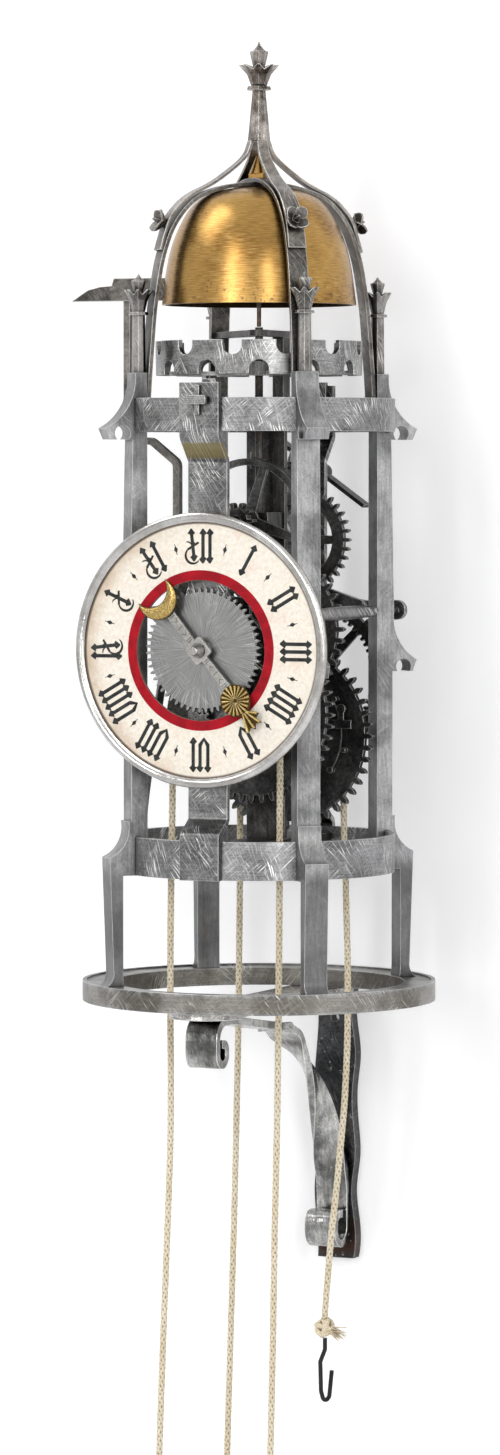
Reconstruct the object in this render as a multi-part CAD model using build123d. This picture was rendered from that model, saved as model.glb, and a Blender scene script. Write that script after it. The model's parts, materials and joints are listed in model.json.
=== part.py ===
from build123d import *
import math
import os

os.makedirs("parts", exist_ok=True)

# An iron wall clock with two trains, a verge balance, a bell and a forged wall bracket.
# Millimetres. It is drawn in the clock's own frame: the clock's axis is X = Y = 0, the dial
# faces -Y, the wall is at +Y, and Z = 0 is the underside of the base ring. place() then moves
# each piece so that the origin is on the wall, midway between the two screw holes.

# ---- fits ----
shaft_clearance = 0.05
running_gap = 0.3
slot_clearance = 0.1

# ---- bracket and base ----
wall_gap = 102.0
plate_thickness = 7.0
plate_width = 21.0
plate_top = -1.0
plate_bottom = -143.0
plate_wave = 1.1
screw_spacing = 116.0
screw_hole_radius = 2.25
mount_drop = 76.0
shelf_thickness = 4.0
shelf_width = 30.0
shelf_leaf_width = 37.0
shelf_reach = 80.0
brace_width = 17.0
brace_thickness = 4.0
brace_twist_width = 13.0
twist_start = 0.12
twist_end = 0.85
hoop_radius = 68.0
ring_outer_radius = hoop_radius + 20.5
ring_inner_radius = hoop_radius + 5.0
ring_height = 10.0
ring_lip = 1.0
ring_lip_width = 2.0

# ---- frame of four posts, two hoops and three straps ----
post_angles = {"front_left": -135, "front_right": -45, "rear_left": 135, "rear_right": 45}
post_width = 12.0
post_inner_radius = hoop_radius - 6.8
post_outer_radius = hoop_radius + 0.8
post_waist_radius = hoop_radius + 2.4
post_lower_radius = hoop_radius + 1.6
post_top_radius = hoop_radius - 0.5
post_top = 313.0
post_bottom = 64.0
leg_inner_radius = hoop_radius + 6.0
leg_outer_radius = hoop_radius + 13.0
upper_crocket = 285.5
lower_crocket = 169.6
crocket_radius = hoop_radius + 14.8
crocket_notch_radius = 4.0
buttress_top = 91.0
hoop_thickness = 2.5
upper_hoop_bottom = 284.0
upper_hoop_height = 16.5
lower_hoop_bottom = 64.2
lower_hoop_height = 19.0
strap_width = 21.0
strap_thickness = 3.0
strap_line = 59.2
strap_top = 307.8
middle_strap_line = 9.5
middle_tenon_width = 11.0
lower_bar_bottom = 76.0
upper_bar_bottom = 287.0
cross_bar_thickness = 4.0
pinnacle_radius = hoop_radius - 4.4
pinnacle_width = 6.5
pinnacle_top = 361.6

# ---- dome, spire and bell ----
arch_width = 10.0
arch_thickness = 2.0
arch_foot = 286.0
arch_top = 409.0
ogee_width = 9.6
ogee_tip_width = 5.0
ogee_thickness = 1.5
spire_bottom = 428.6
spire_neck = 453.7
spire_width = 10.4
spire_neck_width = 6.0
spire_tip = 477.8
rosette_height = 387.25
rosette_radius = post_inner_radius - 11.1
bell_radius = hoop_radius - 19.4
bell_wall = 1.8
bell_rim = 347.0
bell_top = 405.5
stud_radius = 2.0
stud_top = 414.0

# ---- going train, in the front half ----
going_height = 143.4
going_wheel_place = -8.0
going_pulley_place = -39.0
second_wheel_place = -25.0
crown_radius = 31.0
crown_wall = 2.0
crown_teeth = 15
crown_front = -14.0
crown_tips = -5.0
crown_tooth_depth = 4.5
wheel_thickness = 3.0
arbor_radius = 3.0
pivot_radius = 1.5
front_pivot_radius = 2.0
hour_wheel_place = -65.5
hour_wheel_thickness = 2.0

# ---- strike train, in the rear half ----
strike_height = 131.2
strike_wheel_place = 33.0
strike_pulley_place = 39.7
strike_second_place = 19.0
strike_third_place = 50.0
count_wheel_place = 67.5
count_wheel_rim = 42.0
fly_place = 77.7
fly_length = 30.2
fly_thickness = 2.2
fly_half_width = 3.6
fly_droop = 35.0
lifting_pins = 8
lifting_pin_circle = 34.0
lifting_pin_length = 3.0

# ---- wheel teeth: tooth counts and modules ----
great_teeth = 48
going_great_module = 1.79
strike_great_module = 1.93
going_second_leaves = 10
going_second_teeth = 44
going_second_module = 1.647
crown_leaves = 10
hour_leaves = 7
hour_teeth = 56
hour_module = 1.06
strike_second_leaves = 8
strike_second_teeth = 40
strike_second_module = 1.846
strike_third_leaves = 8
strike_third_teeth = 36
strike_third_module = 1.49
fly_leaves = 10
count_leaves = 8
count_teeth = 62
count_module = 1.0645

# ---- pulleys and cords ----
cord_diameter = 3.6
cord_wrap_radius = 29.0
pulley_flange_radius = 31.0
pulley_half_width = 3.3
ratchet_teeth = 24
ratchet_depth = 2.0
ratchet_thickness = 1.8
going_ratchet_radius = 19.0
strike_ratchet_radius = 29.5
click_pivot_radius = 1.5
click_gap = 0.3

# ---- dial and hand ----
dial_height = going_height + (hour_leaves + hour_teeth) * hour_module / 2
dial_radius = 67.5
dial_opening_radius = 34.4
dial_face = -69.0
dial_thickness = 1.5
dial_foot_offset = 50.0
bezel_inner_radius = 62.9
bezel_height = 2.0
hand_angle = 139.5
sun_distance = 31.6
sun_radius = 7.9
moon_distance = 33.0
moon_radius = 10.4
hand_thickness = 1.5

# ---- balance ----
verge_radius = 2.0
verge_rise = 6.19
verge_top = 336.0
pallet_reach = 4.4
balance_radius = hoop_radius - 16.4
balance_wall = 2.8
balance_bottom = 312.0
balance_height = 17.0
balance_notches = 12
notch_radius = 4.9
notch_depth = 7.2
notch_phase = 24.5
cock_bottom = 331.6
cock_thickness = 3.2

# ---- side arbors ----
side_arbor_place = hoop_radius - 21.6
side_arbor_height = 194.0
hammer_rod_line = hoop_radius + 4.4
hammer_head_bottom = 350.0
hammer_rest_gap = 1.6


# ---- frames and helpers ----
def front_plane(y):
    return Plane(origin=(0, y, 0), x_dir=(1, 0, 0), z_dir=(0, -1, 0))


def radial_plane(angle):
    a = math.radians(angle)
    return Plane(origin=(0, 0, 0), x_dir=(math.cos(a), math.sin(a), 0),
                 z_dir=(math.sin(a), -math.cos(a), 0))


side_plane = radial_plane(90)


def place(shape):
    return Location((0, -wall_gap, mount_drop)) * shape


def save(name, *pieces):
    placed = [place(piece) for piece in pieces]
    shape = placed[0] if len(placed) == 1 else Compound(children=placed)
    export_step(shape, f"parts/{name}.step")


def slab(sketch, low, high):
    """A plate drawn in X and Z, between two places on Y."""
    return extrude(front_plane(high) * sketch, amount=high - low)


def rod(x, z, radius, low, high):
    """A round bar along Y."""
    return slab(Pos(x, z) * Circle(radius), low, high)


def disc(x, y, radius, low, high):
    """A round bar along Z."""
    return extrude(Plane((x, y, low)) * Circle(radius), amount=high - low)


def ring(outer, inner, low, high):
    return extrude(Plane((0, 0, low)) * (Circle(outer) - Circle(inner)), amount=high - low)


def bar(path, width_direction, width, thickness):
    """A flat bar bent along a path, flat to the width direction."""
    section = Plane(origin=path @ 0, x_dir=width_direction, z_dir=path % 0)
    return sweep(section * Rectangle(width, thickness), path=path)


def bent_line(plane, points, radius):
    """A line through points of a plane, with rounded bends."""
    return plane * FilletPolyline(*points, radius=radius)


def smooth_line(plane, points):
    """A line through points of a plane, each bend as round as its runs allow."""
    return plane * FilletPolyline(*points, radius=bend_radii(points))


def bend_radii(points):
    radii = []
    for before, point, after in zip(points, points[1:], points[2:]):
        arriving = Vector(*point) - Vector(*before)
        leaving = Vector(*after) - Vector(*point)
        half_turn = math.radians(arriving.get_angle(leaving)) / 2
        radii.append(0.45 * min(arriving.length, leaving.length) / math.tan(half_turn))
    return radii


def outline(start, *steps):
    """A closed face: a step is a point of a line, or the middle and the end of an arc."""
    edges = []
    here = start
    for step in steps:
        if isinstance(step[0], tuple):
            edges.append(ThreePointArc(here, step[0], step[1]))
            here = step[1]
        else:
            edges.append(Line(here, step))
            here = step
    if here != start:
        edges.append(Line(here, start))
    return make_face(Curve() + edges)


def toothed(teeth, module, addendum, dedendum, share, tip_share, phase):
    """A toothed outline; share is a tooth's width at the pitch circle, over the pitch."""
    pitch_radius = teeth * module / 2
    root = pitch_radius - dedendum * module
    tip = pitch_radius + addendum * module
    points = []
    for tooth in range(teeth):
        centre = phase + 360 * tooth / teeth
        wide = 180 * share / teeth
        narrow = 180 * tip_share / teeth
        corners = ((root, -wide), (pitch_radius, -wide), (tip, -narrow),
                   (tip, narrow), (pitch_radius, wide), (root, wide))
        for radius, turn in corners:
            a = math.radians(centre + turn)
            points.append((radius * math.cos(a), radius * math.sin(a)))
    return make_face(Polyline(*points, close=True))


def wheel(teeth, module, phase=90):
    return toothed(teeth, module, 0.95, 1.2, 0.44, 0.14, phase)


def pinion(leaves, module, phase):
    return toothed(leaves, module, 0.55, 1.25, 0.42, 0.22, phase)


def gap_down(leaves):
    return 270 + 180 / leaves


def crossed(outer, hub, spokes, spoke_width, phase=0):
    """The openings between the spokes of a wheel."""
    openings = Circle(outer) - Circle(hub)
    for spoke in range(spokes):
        root, end = 0.7 * spoke_width, 0.45 * spoke_width
        arm = make_face(Polyline((0, -root), (outer, -end), (outer, end), (0, root), close=True))
        openings -= Rot(0, 0, phase + 360 * spoke / spokes) * arm
    return openings


def octagon(width):
    return RegularPolygon(width / 2, 8, major_radius=False, rotation=22.5)


def taper(width_low, width_high, low, high, x=0, y=0):
    """An eight-sided bar that changes width."""
    return loft([Plane((x, y, low)) * octagon(width_low), Plane((x, y, high)) * octagon(width_high)])


# ---- heights of the arbors ----
going_second_height = going_height + (great_teeth + going_second_leaves) * going_great_module / 2
verge_bottom = going_second_height + verge_rise
crown_height = going_second_height + (going_second_teeth + crown_leaves) * going_second_module / 2
strike_second_height = strike_height + (great_teeth + strike_second_leaves) * strike_great_module / 2
strike_third_height = (strike_second_height
                       + (strike_second_teeth + strike_third_leaves) * strike_second_module / 2)
fly_height = strike_third_height + (strike_third_teeth + fly_leaves) * strike_third_module / 2
count_height = strike_height + (count_teeth - count_leaves) * count_module / 2

strap_front = -strap_line - strap_thickness / 2
strap_back = -strap_line + strap_thickness / 2
middle_front = middle_strap_line - strap_thickness / 2
middle_back = middle_strap_line + strap_thickness / 2
rear_front = strap_line - strap_thickness / 2
rear_back = strap_line + strap_thickness / 2


# ---- posts ----
def hoop_space(low, height):
    return ring(hoop_radius + slot_clearance, hoop_radius - hoop_thickness - slot_clearance,
                low - slot_clearance, low + height + slot_clearance)


def post_profile():
    body = outline(
        (post_inner_radius, post_top), (post_top_radius, post_top),
        ((post_top_radius + 3.3, 297), (crocket_radius, upper_crocket)),
        (crocket_radius - 2.4, upper_crocket - 5.5),
        (post_outer_radius, upper_crocket - 5.5), (post_waist_radius, lower_crocket + 24),
        ((post_waist_radius + 3.0, lower_crocket + 9), (crocket_radius, lower_crocket)),
        (crocket_radius - 2.2, lower_crocket - 6),
        (post_lower_radius, lower_crocket - 6), (post_lower_radius, buttress_top),
        (post_lower_radius + 1.6, buttress_top),
        ((post_lower_radius + 3.6, buttress_top - 11.5), (leg_outer_radius, buttress_top - 18)),
        (leg_outer_radius - 2, 16),
        ((leg_outer_radius - 1.2, 12), (leg_outer_radius + 1.6, ring_height - ring_lip)),
        (leg_inner_radius - 0.4, ring_height - ring_lip), (leg_inner_radius, 14),
        (leg_inner_radius, post_bottom), (post_inner_radius, post_bottom))
    body -= Pos(crocket_radius - 8.7, upper_crocket - 2.4) * Circle(crocket_notch_radius)
    body -= Pos(crocket_radius - 7.2, lower_crocket - 3.6) * Circle(crocket_notch_radius)
    return body


def post(angle):
    shape = extrude(radial_plane(angle) * post_profile(), amount=post_width / 2, both=True)
    shape -= hoop_space(upper_hoop_bottom, upper_hoop_height)
    shape -= hoop_space(lower_hoop_bottom, lower_hoop_height)
    x = side_arbor_place * math.copysign(1, math.cos(math.radians(angle)))
    return shape - rod(x, side_arbor_height, pivot_radius + shaft_clearance, -70, 70)


def crown(bottom, height, low_width, high_width):
    """A flaring eight-pointed cup of leaves, its rim cut into points."""
    waist = bottom + height * 0.55
    waist_width = low_width + 0.35 * (high_width - low_width)
    cup = taper(low_width, waist_width, bottom, waist)
    cup += taper(waist_width, high_width, waist, bottom + height)
    cutter_depth = height * 0.22
    half_gap = high_width * 0.17
    for leaf in range(8):
        wedge = Polyline((-half_gap, bottom + height + 0.1), (half_gap, bottom + height + 0.1),
                         (0, bottom + height - cutter_depth), close=True)
        cutter = extrude(side_plane * make_face(wedge), amount=high_width)
        cup -= Rot(0, 0, 45 * leaf) * cutter
    return cup


def bud(bottom, widest, top, low_width, width):
    """A flared pot with a sharp rim, under a lid that ends in a point."""
    rim = widest + 0.7
    lid = rim + 0.6 * (top - rim)
    body = taper(low_width, width, bottom, widest) + taper(width, width - 0.5, widest, rim)
    return body + taper(0.72 * width, 1.6, rim, lid) + taper(1.6, 0.6, lid, top)


def pinnacle(angle):
    """A post's finial: octagonal shaft, collar, leaf crown and pot-shaped bud."""
    shaft = taper(pinnacle_width, pinnacle_width - 0.6, post_top, 341.5)
    collar = taper(9.2, 8.6, 341.5, 343)
    cup = crown(343, 11, 5.8, 13.4)
    tip = bud(352, 358, pinnacle_top, 3.6, 6.8)
    a = math.radians(angle)
    place_on_post = Pos(pinnacle_radius * math.cos(a), pinnacle_radius * math.sin(a))
    return place_on_post * Rot(0, 0, angle) * (shaft + collar + cup + tip)


# ---- hoops, base ring, straps ----
def base_ring():
    body = ring(ring_outer_radius, ring_inner_radius, 0, ring_height)
    return body - ring(ring_outer_radius - ring_lip_width, ring_inner_radius - 1,
                       ring_height - ring_lip, ring_height + 1)


def outer_strap(side):
    """The front (-1) or rear (+1) strap: outside both hoops, stepped in between them."""
    outside = hoop_radius + strap_thickness / 2
    points = [(side * outside, strap_top), (side * outside, 281.5), (side * strap_line, 269.5),
              (side * strap_line, 93), (side * outside, 85.5), (side * outside, post_bottom)]
    return bar(bent_line(side_plane, points, 3), (1, 0, 0), strap_width, strap_thickness)


def front_strap():
    shape = outer_strap(-1)
    for height, radius in ((going_height, front_pivot_radius), (going_second_height, pivot_radius),
                           (crown_height, pivot_radius)):
        shape -= rod(0, height, radius + shaft_clearance, -64, -54)
    shape -= rod(0, dial_height, front_pivot_radius, -64, -54)
    return shape - rod(0, 299.5, 2, -80, -60)


def middle_strap():
    low = lower_bar_bottom + cross_bar_thickness
    middle = Pos(0, (low + upper_bar_bottom) / 2)
    height = upper_bar_bottom - low
    face = Rectangle(strap_width, height)
    face += Rectangle(middle_tenon_width, height + 2 * cross_bar_thickness + 2)
    body = slab(middle * face, middle_front, middle_back)
    for height in (going_height, going_second_height, strike_height, strike_second_height,
                   strike_third_height, fly_height):
        body -= rod(0, height, pivot_radius + shaft_clearance, 0, 20)
    return body


def rear_strap():
    shape = outer_strap(1)
    for height, radius in ((strike_height, front_pivot_radius), (strike_second_height, pivot_radius),
                           (strike_third_height, pivot_radius), (fly_height, pivot_radius)):
        shape -= rod(0, height, radius + shaft_clearance, 54, 64)
    shape -= rod(0, count_height, front_pivot_radius, 54, 64)
    return shape - rod(0, 299.5, 2, 60, 80)


def cross_bar(bottom, half_length):
    """A bar from front to back that carries the middle strap."""
    body = extrude(Plane((0, 0, bottom)) * Rectangle(strap_width, 2 * half_length),
                   amount=cross_bar_thickness)
    slot = Box(middle_tenon_width + 2 * slot_clearance, strap_thickness + 2 * slot_clearance,
               cross_bar_thickness + 1)
    return body - Pos(0, middle_strap_line, bottom + cross_bar_thickness / 2) * slot


def cross_bars():
    inside = hoop_radius - hoop_thickness
    reach = math.sqrt(inside ** 2 - (strap_width / 2) ** 2)
    upper = cross_bar(upper_bar_bottom, reach) - disc(0, 0, verge_radius + 1, 280, 295)
    lower = cross_bar(lower_bar_bottom, reach)
    upright_bottom = upper_bar_bottom + cross_bar_thickness
    upright = extrude(Plane((0, 27, upright_bottom)) * Rectangle(6, 8),
                      amount=cock_bottom - upright_bottom)
    return [upper, lower, upright]


def strap_key(side):
    """A T-headed bolt through a strap and the upper hoop, with the wedge that holds it."""
    face = side * (hoop_radius + strap_thickness)
    bolt = rod(0, 299.5, 2, *sorted((side * hoop_radius, face + side * 2.4)))
    wedge = slab(Pos(0, 299.2) * Rectangle(2.4, 14.4), *sorted((face, face + side * 2.4)))
    head = slab(Pos(0, 299.2) * RectangleRounded(11.3, 4.4, 1.2),
                *sorted((face + side * 2.4, face + side * 4.6)))
    return bolt + wedge + head


def strap_block(side):
    """The small square block that stands on the hoop behind a strap's top."""
    return Pos(4, side * (hoop_radius - hoop_thickness / 2), 300.5 + 4.5) * Box(7, hoop_thickness, 9)


# ---- dome and spire ----
def arch(angle, top):
    spring = post_inner_radius
    half = [(spring - arch_thickness / 2, arch_foot), (spring - 1.4, 304), (spring - 4.6, 346),
            (spring - 8.6, 370), (spring - 14.6, 387), (spring - 26.2, 400.5), (14, top)]
    points = half + [(-x, z) for x, z in reversed(half)]
    body = bar(smooth_line(radial_plane(angle), points),
               (math.sin(math.radians(angle)), -math.cos(math.radians(angle)), 0),
               arch_width, arch_thickness)
    return body - disc(0, 0, stud_radius, 395, 415)


def ogee(angle):
    """An S-shaped strap from its seam on an arch up to the foot of the spire."""
    spring = post_inner_radius
    points = [(spring - 7.92, 373.6), (spring - 9.8, 380.4), (spring - 13, 390.5), (spring - 22.2, 400.6),
              (24.5, 407.2), (12, 416.6), (6.6, 421.8), (4.5, spire_bottom - 0.3)]
    body = bar(smooth_line(radial_plane(angle), points),
               (math.sin(math.radians(angle)), -math.cos(math.radians(angle)), 0),
               ogee_width, ogee_thickness)
    plan = Polyline((0, -ogee_tip_width / 2), (58, -ogee_width / 2), (58, ogee_width / 2),
                    (0, ogee_tip_width / 2), close=True)
    wedge = extrude(Plane((0, 0, 360)) * make_face(plan), amount=80)
    body &= Rot(0, 0, angle) * wedge
    return body - Rot(0, 0, angle) * Pos(0, 0, 400) * Box(5.2, 20, 80)


def rosette(angle):
    """Four curled petals round a diamond, riveted to a strap of the dome."""
    petal = outline((0, 0), ((3.3, 3.3), (8.2, 0)), ((3.3, -3.3), (0, 0)))
    petals = [Rot(0, 0, 45 + 90 * k) * Rot(0, -34, 0) * extrude(petal, amount=0.9) for k in range(4)]
    flower = Pos(0, 0, 0.8) * Cylinder(2.6, 1.6) + petals
    flower += Pos(0, 0, 1.6) * Rot(0, 0, 22.5) * loft(
        [RegularPolygon(2.8, 4), Plane((0, 0, 5.2)) * RegularPolygon(0.4, 4)])
    tilt = Plane(origin=(rosette_radius, 0, rosette_height), x_dir=(0, 1, 0), z_dir=(1, 0, 0.322))
    return Rot(0, 0, angle) * tilt.location * flower


def spire():
    body = taper(spire_width, spire_neck_width, spire_bottom, spire_neck)
    return body + taper(11.2, 10.4, spire_neck, spire_neck + 2)


def spire_finial():
    cup = crown(spire_neck + 2, 10.6, 7, 19)
    return cup + bud(463.2, 472.4, spire_tip, 4.6, 8.6)


# ---- bell and its stud ----
def bell():
    outer = [(bell_radius, bell_rim), (bell_radius - 1.8, 361), (bell_radius - 4.6, 375),
             (bell_radius - 9.4, 387.2), (bell_radius - 18, 398.9), (17, 404.4), (stud_radius, bell_top)]
    inner = [(bell_radius - bell_wall, bell_rim), (bell_radius - 3.6, 360.7), (bell_radius - 6.4, 374.4),
             (bell_radius - 10.9, 386), (bell_radius - 19, 397.2), (16.4, 402.6),
             (stud_radius, bell_top - bell_wall)]
    edges = [Spline(*outer), Line(outer[-1], inner[-1]), Spline(*reversed(inner)),
             Line(inner[0], outer[0])]
    return revolve(Plane.XZ * make_face(Curve() + edges), axis=Axis.Z)


def bell_stud():
    """The stud from the dome's crossing down to the bell, and the thin rod to the verge."""
    shank = disc(0, 0, stud_radius, 396, stud_top)
    washer = disc(0, 0, 5, bell_top - bell_wall - 2.4, bell_top - bell_wall - 0.6)
    hanger = disc(0, 0, 1.1, verge_top + running_gap, 396)
    return shank + washer + hanger


def bell_nut():
    bottom = arch_top + arch_thickness / 2
    square = Pos(0, 0, bottom + 1.2) * Box(8, 8, 2.4)
    cone = Pos(0, 0, bottom + 6.8) * Cone(5.0, 1.4, 8.8)
    return (square + cone) - disc(0, 0, stud_radius, 405, stud_top)


# ---- balance ----
def verge():
    staff = disc(0, 0, verge_radius, verge_bottom, verge_top)
    for side, turn in ((-1, 50), (1, -50)):
        pallet = Pos(pallet_reach / 2, 0) * Rectangle(pallet_reach, 1.4)
        height = crown_height + side * (crown_radius - crown_wall / 2)
        staff += extrude(Plane((0, 0, height - 4)) * Rot(0, 0, -90 + turn) * pallet, amount=8)
    return staff


def notch_cutter(turn, edge, upward):
    """A round-bottomed notch that opens at an edge of the balance ring."""
    straight = notch_depth - notch_radius
    face = Pos(0, edge - upward * straight) * Circle(notch_radius)
    face += Pos(0, edge) * Rectangle(2 * notch_radius, 2 * straight)
    return Rot(0, 0, turn) * extrude(side_plane * face, amount=balance_radius + 5)


def balance_ring():
    body = ring(balance_radius, balance_radius - balance_wall, balance_bottom,
                balance_bottom + balance_height)
    for k in range(balance_notches):
        top_turn = notch_phase + 360 * (k + 0.5) / balance_notches
        bottom_turn = notch_phase + 360 * k / balance_notches
        body -= notch_cutter(top_turn, balance_bottom + balance_height, 1)
        body -= notch_cutter(bottom_turn, balance_bottom, -1)
    arm = Box(2 * (balance_radius - balance_wall / 2), 5, 2.2)
    arms = Rot(0, 0, notch_phase - 15) * Pos(0, 0, balance_bottom + 1.1) * arm
    hub = disc(0, 0, 5, balance_bottom, balance_bottom + 7)
    return (body + arms + hub) - disc(0, 0, verge_radius, 300, 340)


def balance_cock():
    """The arm that holds the verge's upper end, from the rear left arch and the upright."""
    top = cock_bottom + cock_thickness
    boss = disc(0, 0, 5, cock_bottom, top)
    reach = post_inner_radius - 5.2
    arm = Pos(reach / 2, 0, (cock_bottom + top) / 2) * Box(reach, 6, cock_thickness)
    prop = Pos(0, 15.5, (cock_bottom + top) / 2) * Box(6, 31, cock_thickness)
    shape = boss + Rot(0, 0, 135) * arm + prop
    return shape - disc(0, 0, verge_radius + shaft_clearance, 320, 340)


def verge_potence():
    """The bracket on the middle strap that the verge stands in."""
    bottom = verge_bottom - 1.5
    body = Pos(0, middle_front / 2 - 2, bottom + 2.2) * Box(8, middle_front + 4, 4.4)
    body += Pos(0, middle_front - 1.5, bottom + 4) * Box(8, 3, 8)
    return body - disc(0, 0, verge_radius + shaft_clearance, verge_bottom - running_gap, verge_bottom + 8.5)


def crown_potence():
    """The forked bracket on the middle strap that holds the crown wheel's inner pivot."""
    plate = Pos(0, -9, crown_height) * Box(19, 3, 8)
    shape = plate
    for side in (-1, 1):
        shape += Pos(side * 8, (middle_front - 10.5) / 2, crown_height) * Box(3, middle_front + 10.5, 8)
    return shape - rod(0, crown_height, pivot_radius + shaft_clearance, -20, 0)


# ---- arbors and wheels ----
def arbor(height, low, high, low_pivot, high_pivot, low_end, high_end, radius=arbor_radius):
    """A stepped shaft along Y: its body, and a thinner pivot at each end."""
    return (rod(0, height, radius, low, high) + rod(0, height, low_pivot, low_end, low)
            + rod(0, height, high_pivot, high, high_end))


def on_arbor(face, height, y, thickness, bore=arbor_radius):
    """A wheel of the given outline, fitted on its arbor."""
    placed = Pos(0, height) * (face - Circle(bore))
    return slab(placed, y - thickness / 2, y + thickness / 2)


def leaves_on(face, height, low, high):
    return slab(Pos(0, height) * face, low, high)


def great_web(module):
    """A great wheel with four round openings in its web."""
    face = wheel(great_teeth, module)
    for k in range(4):
        face -= Rot(0, 0, 45 + 90 * k) * Pos(20.5, 0) * Circle(5.5)
    return face


def pulley(height, y, ratchet_radius, ratchet_low, ratchet_high):
    """A grooved cord pulley with its ratchet, loose on the arbor."""
    bottom = cord_wrap_radius - cord_diameter / 2 - running_gap
    bore = arbor_radius + shaft_clearance
    wide = pulley_half_width
    rim = wide - 0.7
    groove = outline((bore, -wide), (pulley_flange_radius, -wide), (pulley_flange_radius, -rim),
                     (bottom, -1.4), (bottom, 1.4), (pulley_flange_radius, rim),
                     (pulley_flange_radius, wide), (bore, wide))
    sheave = Pos(0, y, height) * revolve(groove, axis=Axis.Y)
    low = min(ratchet_low, y)
    high = max(ratchet_high, y)
    sleeve = slab(Pos(0, height) * (Circle(bore + 3) - Circle(bore)), low, high)
    teeth = slab(Pos(0, height) * (ratchet(ratchet_radius) - Circle(bore)), ratchet_low, ratchet_high)
    return sheave + sleeve + teeth


def ratchet(radius):
    """Saw teeth, one steep flank and one slope each."""
    points = []
    for tooth in range(ratchet_teeth):
        for r, share in ((radius, 0.0), (radius - ratchet_depth, 0.06)):
            a = math.radians(360 * (tooth + share) / ratchet_teeth)
            points.append((r * math.cos(a), r * math.sin(a)))
    return make_face(Polyline(*points, close=True))


def point_on(circle, turn, height):
    a = math.radians(turn)
    return circle * math.cos(a), height + circle * math.sin(a)


def pawl(pivot, nose, thickness_low, thickness_high):
    """A pointed lever from its pivot to its nose."""
    (px, pz), (nx, nz) = pivot, nose
    length = math.hypot(nx - px, nz - pz)
    ux, uz = (nx - px) / length, (nz - pz) / length
    corners = [(px - 2.2 * uz, pz + 2.2 * ux), (nx - 0.5 * uz, nz + 0.5 * ux),
               (nx + 0.5 * uz, nz - 0.5 * ux), (px + 2.2 * uz, pz - 2.2 * ux)]
    face = make_face(Polyline(*corners, close=True)) + Pos(px, pz) * Circle(2.6)
    return slab(face, thickness_low, thickness_high)


# ---- going train ----
going_wheel_front = going_wheel_place - wheel_thickness / 2
going_wheel_back = going_wheel_place + wheel_thickness / 2
going_click_turn = 118.0
going_click_circle = 27.0
going_ratchet_back = going_wheel_front - running_gap
going_ratchet_front = going_ratchet_back - ratchet_thickness


def going_great_arbor():
    shaft = arbor(going_height, strap_back + running_gap, middle_front - running_gap,
                  front_pivot_radius, pivot_radius, hour_wheel_place - 1.8, middle_back)
    leaves = pinion(hour_leaves, hour_module, 90)
    return shaft + leaves_on(leaves, going_height, hour_wheel_place - 1.8, hour_wheel_place + 1.8)


def going_great_wheel():
    body = on_arbor(great_web(going_great_module), going_height, going_wheel_place, wheel_thickness)
    body += slab(Pos(0, going_height) * (Circle(7) - Circle(arbor_radius)), going_wheel_back,
                 going_wheel_back + 3)
    x, z = point_on(going_click_circle, going_click_turn, going_height)
    return body - rod(x, z, click_pivot_radius + shaft_clearance, -20, 0)


def going_pulley():
    return pulley(going_height, going_pulley_place, going_ratchet_radius, going_ratchet_front,
                  going_ratchet_back)


def going_click():
    pivot = point_on(going_click_circle, going_click_turn, going_height)
    nose = point_on(going_ratchet_radius + click_gap + 0.5, going_click_turn - 32, going_height)
    lever = pawl(pivot, nose, going_ratchet_front, going_ratchet_back)
    return lever + rod(*pivot, click_pivot_radius, going_ratchet_back, going_wheel_back)


def going_second_arbor():
    shaft = arbor(going_second_height, strap_back + running_gap, middle_front - running_gap,
                  pivot_radius, pivot_radius, strap_front, middle_back)
    leaves = pinion(going_second_leaves, going_great_module, gap_down(going_second_leaves))
    return shaft + leaves_on(leaves, going_second_height, going_wheel_place - 2.5,
                             going_wheel_place + 2.5)


def spoked(teeth, module, rim, hub, spoke_width, phase):
    """A wheel with four spokes."""
    root = teeth * module / 2 - 1.2 * module
    return wheel(teeth, module) - crossed(root - rim, hub, 4, spoke_width, phase)


def going_second_wheel():
    face = spoked(going_second_teeth, going_second_module, 4, 7, 5, 45)
    return on_arbor(face, going_second_height, second_wheel_place, wheel_thickness)


crown_arbor_radius = 2.5


def crown_arbor():
    shaft = arbor(crown_height, strap_back + running_gap, -10.5 - running_gap, pivot_radius,
                  pivot_radius, strap_front, -7.6, crown_arbor_radius)
    leaves = pinion(crown_leaves, going_second_module, gap_down(crown_leaves))
    return shaft + leaves_on(leaves, crown_height, second_wheel_place - 2.5, second_wheel_place + 2.5)


def crown_wheel():
    """The escape wheel: a short drum on four spokes, its rear edge cut into saw teeth."""
    face = Circle(crown_radius) - Circle(crown_radius - crown_wall)
    drum = slab(Pos(0, crown_height) * face, crown_front, crown_tips)
    half_pitch = math.pi * crown_radius / crown_teeth
    notch = Polyline((-half_pitch, 0.5), (half_pitch - 1, 0.5), (half_pitch - 1.6, 0),
                     (-half_pitch, -crown_tooth_depth), close=True)
    cutter = extrude(Plane.XY * make_face(notch), amount=crown_radius + 3)
    for tooth in range(crown_teeth):
        turned = Pos(0, crown_tips, crown_height) * Rot(0, 360 * tooth / crown_teeth, 0) * cutter
        drum -= turned
    web = Circle(crown_radius - crown_wall / 2) - Circle(crown_arbor_radius)
    web -= crossed(crown_radius - crown_wall - 1.5, 6, 4, 4.5, 71.5)
    return drum + slab(Pos(0, crown_height) * web, crown_front, crown_front + 2)


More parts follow.
